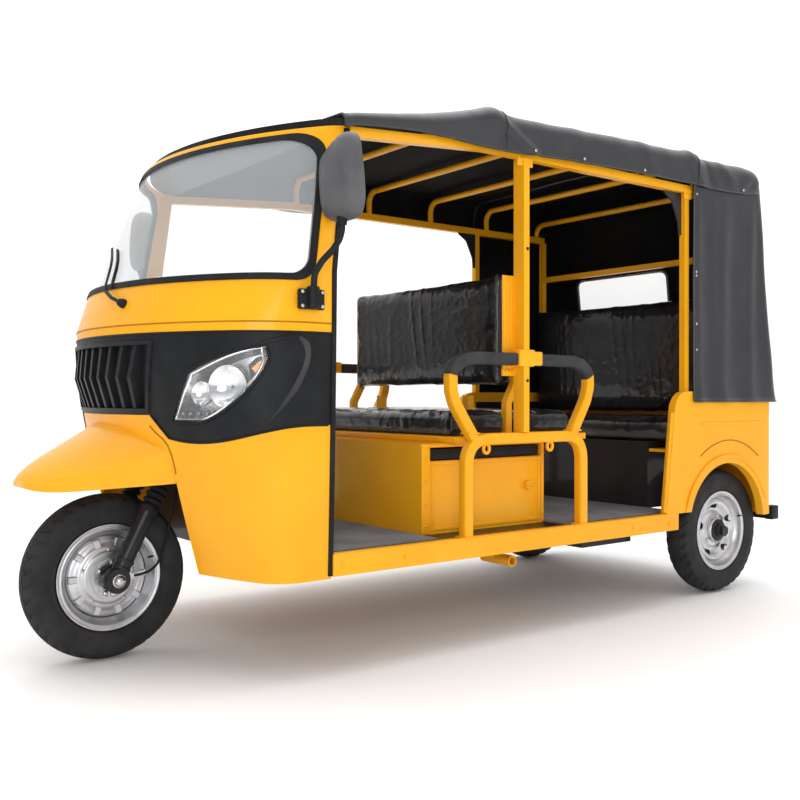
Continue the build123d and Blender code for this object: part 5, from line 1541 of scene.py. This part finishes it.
# Seat box: folded edges, corner strips, black strip in the slot over the hatch as painted shade, latch and
# screws
bm = bmesh.new()
for side in (1, -1):
    out = side * 502
    # turned lip under the seat board and folded corner strips
    block_into(bm, mm(out - 4, 884, 655), mm(out + 6, 1452, 668), 0.003)
    block_into(bm, mm(out - 3, 881, 370), mm(out + 5, 916, 656), 0.0025)
    block_into(bm, mm(out - 3, 1442, 370), mm(out + 5, 1455, 656), 0.0025)
    # raised border of the hatch
    for low, high in (((924, 376), (1436, 388)), ((924, 596), (1436, 608)),
                      ((924, 388), (936, 596)), ((1424, 388), (1436, 596))):
        block_into(bm, mm(out - 2, *low), mm(out + 3.5, *high), 0.0016)
    block_into(bm, mm(side * 560 - 3, 988, 672), mm(side * 560 + 3, 1617, 690), 0.0025)
block_into(bm, mm(-556, 982, 672), mm(556, 988, 690), 0.0025)
done("seat_box_folds", bm, yellow)

# black strip set back in the slot over the hatch: painted shade of the slot
bm = bmesh.new()
for side in (1, -1):
    block_into(bm, mm(side * 494 - 2, 926, 614), mm(side * 494 + 2, 1432, 650), 0.001)
done("seat_box_slot_shade", bm, black_plastic)

bm = bmesh.new()
for side in (1, -1):
    spot = mm(side * 512, 1370, 506)
    knob = ((-0.012, 0.017), (0.001, 0.017), (0.004, 0.015), (0.005, 0.010))
    turned_into(bm, knob, 28, spot, (side, 0, 0), caps=True)
    block_into(bm, spot + Vector((-0.004 + side * 0.007, -0.019, -0.0045)),
               spot + Vector((0.004 + side * 0.007, 0.019, 0.0045)), 0.003)
done("hatch_latches", bm, yellow)
spots = [(mm(507, 898, z), (1, 0, 0)) for z in (395, 470, 545, 620)]
spots += [(mm(507, 1448, z), (1, 0, 0)) for z in (400, 620)]
spots += [(mm(505.5, y, 382), (1, 0, 0)) for y in (980, 1180, 1380)]
heads_piece("seat_box_screws", mirrored(spots), 0.0050, yellow)

# ribs of the two floor mats and the edge trim on the sill
bm = bmesh.new()
for front_y, rear_y in ((452, 866), (1470, 2096)):
    x = -585
    while x <= 585:
        block_into(bm, mm(x - 3.5, front_y, 369.2), mm(x + 3.5, rear_y, 371.4), 0)
        x += 18
done("mat_ribs", bm, mat_rubber, smooth=False)

bm = bmesh.new()
for side in (1, -1):
    block_into(bm, mm(side * 641 - 9, 440, 365), mm(side * 641 + 9, 2050, 369), 0.0018)
done("sill_trims", bm, yellow)
spots = [(mm(652, y, 334), (1, 0, 0)) for y in (470, 700, 1780, 2000)]
heads_piece("sill_bolts", mirrored(spots), 0.0075, yellow, sides=6)

# lining boards inside the rear sides
bm = bmesh.new()
for side in (1, -1):
    block_into(bm, mm(side * 615.5 - 4.5, 2128, 640), mm(side * 615.5 + 4.5, 2706, 798), 0.004)
    block_into(bm, mm(side * 611 - 2, 2140, 652), mm(side * 611 + 2, 2694, 786), 0.002)
done("side_linings", bm, black_plastic)


# Rear body, tail lamps and bumper

FENDERS = tree_of("rear_fenders", "tail_panel")


def side_skin(y, z, lift=0.0):
    """Point on the left side of the rear body, station and height in millimetres."""
    hit, *_ = FENDERS.ray_cast(Vector((3, y / 1000 + AXLE_Y, z / 1000)), Vector((-1, 0, 0)))
    return hit + Vector((lift, 0, 0))


bm = bmesh.new()
# pressed line along each side, lip of the wheel opening and the arched groove over it
line = [side_skin(y, 716) for y in range(2200, 2651, 30)]
for path in both(line):
    swept_into(bm, path, round_section(0.0065, 10, 0.6), (1, 0, 0))
lip = []
for i in range(41):
    turn = math.radians(20 + 140 * i / 40)
    lip.append(side_skin(2384 + 288 * math.cos(turn), 293 + 288 * math.sin(turn)))
for path in both(lip):
    swept_into(bm, path, round_section(0.0070, 10, 0.8), (1, 0, 0))
done("fender_pressings", bm, yellow)

bm = bmesh.new()
# arched groove over the wheel opening: a thin bead in darker orange, painted shade of the groove
groove = []
for i in range(25):
    turn = math.radians(52 + 72 * i / 24)
    groove.append(side_skin(2394 + 345 * math.cos(turn), 300 + 345 * math.sin(turn), 0.0003))
for path in both(groove):
    swept_into(bm, path, round_section(0.0024, 8), (1, 0, 0))
done("fender_arch_crease_shade", bm, painted_crease_shade)

# folded front edge of each fender
bm = bmesh.new()
edge = [mm(640, y, z) for y, z in ((1985, 372), (1996, 470), (2014, 620), (2031, 762))]
for path in both(edge):
    swept_into(bm, path, round_section(0.010, 12), (1, 0, 0))
done("fender_edges", bm, yellow)

bm = bmesh.new()
for side in (1, -1):
    mid = side * 500
    # bezel round each tail lamp
    frame_line = ((0, 633), (50, 633), (50, 777), (-50, 777), (-50, 633), (0, 633))
    ring = rounded([mm(mid + dx, 2737, z) for dx, z in frame_line], 0.014)
    swept_into(bm, ring, square_section(0.012, 0.014, 0.003), (0, 1, 0))
    # bumper end caps
    block_into(bm, mm(side * 622 - 20, 2733, 287), mm(side * 622 + 20, 2785, 348), 0.006)
done("tail_lamp_bezels", bm, black_plastic)

bm = bmesh.new()
for side in (1, -1):
    for row in range(9):
        z = 648 + row * 14.5
        block_into(bm, mm(side * 500 - 38, 2761, z), mm(side * 500 + 38, 2764.5, z + 4), 0.0012)
done("tail_lamp_ribs", bm, red)
bm = bmesh.new()
for side in (1, -1):
    block_into(bm, mm(side * 500 - 40, 2752, 734), mm(side * 500 + 40, 2765.5, 766), 0.004)
done("tail_turn_lamps", bm, amber)

# plain number plate carrier, tail seam and bumper fixings
bm = bmesh.new()
block_into(bm, mm(-170, 2735, 505), mm(170, 2739, 615), 0.0018)
block_into(bm, mm(-178, 2735, 618), mm(178, 2752, 630), 0.004)
done("plate_carrier", bm, black_plastic)
bm = bmesh.new()
block_into(bm, mm(-160, 2739, 512), mm(160, 2740.6, 608), 0.0008)
done("blank_plate", bm, plate_white)
spots = [(mm(105, 2740.6, 560), (0, 1, 0)), (mm(-105, 2740.6, 560), (0, 1, 0))]
spots += [(mm(x, 2785, 318), (0, 1, 0)) for x in (-330, 330)]
spots += [(mm(x, 2735, 826), (0, 1, 0)) for x in (-530, -270, 0, 270, 530)]
heads_piece("tail_bolts", spots, 0.0070, steel)

bm = bmesh.new()
for x in (-562, 562):
    swept_into(bm, [mm(x, 2735.4, z) for z in (350, 500, 660, 844)], round_section(0.0026, 8), (0, 1, 0))
fold = [mm(x, 2735.4, 690) for x in (-430, -200, 0, 200, 430)]
swept_into(bm, fold, round_section(0.0060, 8, 0.6), (0, 1, 0))
done("tail_seams", bm, yellow)

# Mudguard's joint with the cab: a thin bead in darker orange along it, painted shade of the crease
NOSE = tree_of("front_mudguard", "leg_shield")
MUDGUARD_JOINT_SEEN = ((150, 426), (156, 433), (163, 439), (168, 446), (172, 456), (175, 468), (176, 474))
line = [seen(x, y, NOSE, 0.0006) for x, y in MUDGUARD_JOINT_SEEN]
bm = bmesh.new()
for path in both(line):
    swept_into(bm, path, round_section(0.0024, 8), (0.6, -0.6, 0.4))
done("mudguard_joint_shade", bm, painted_crease_shade)
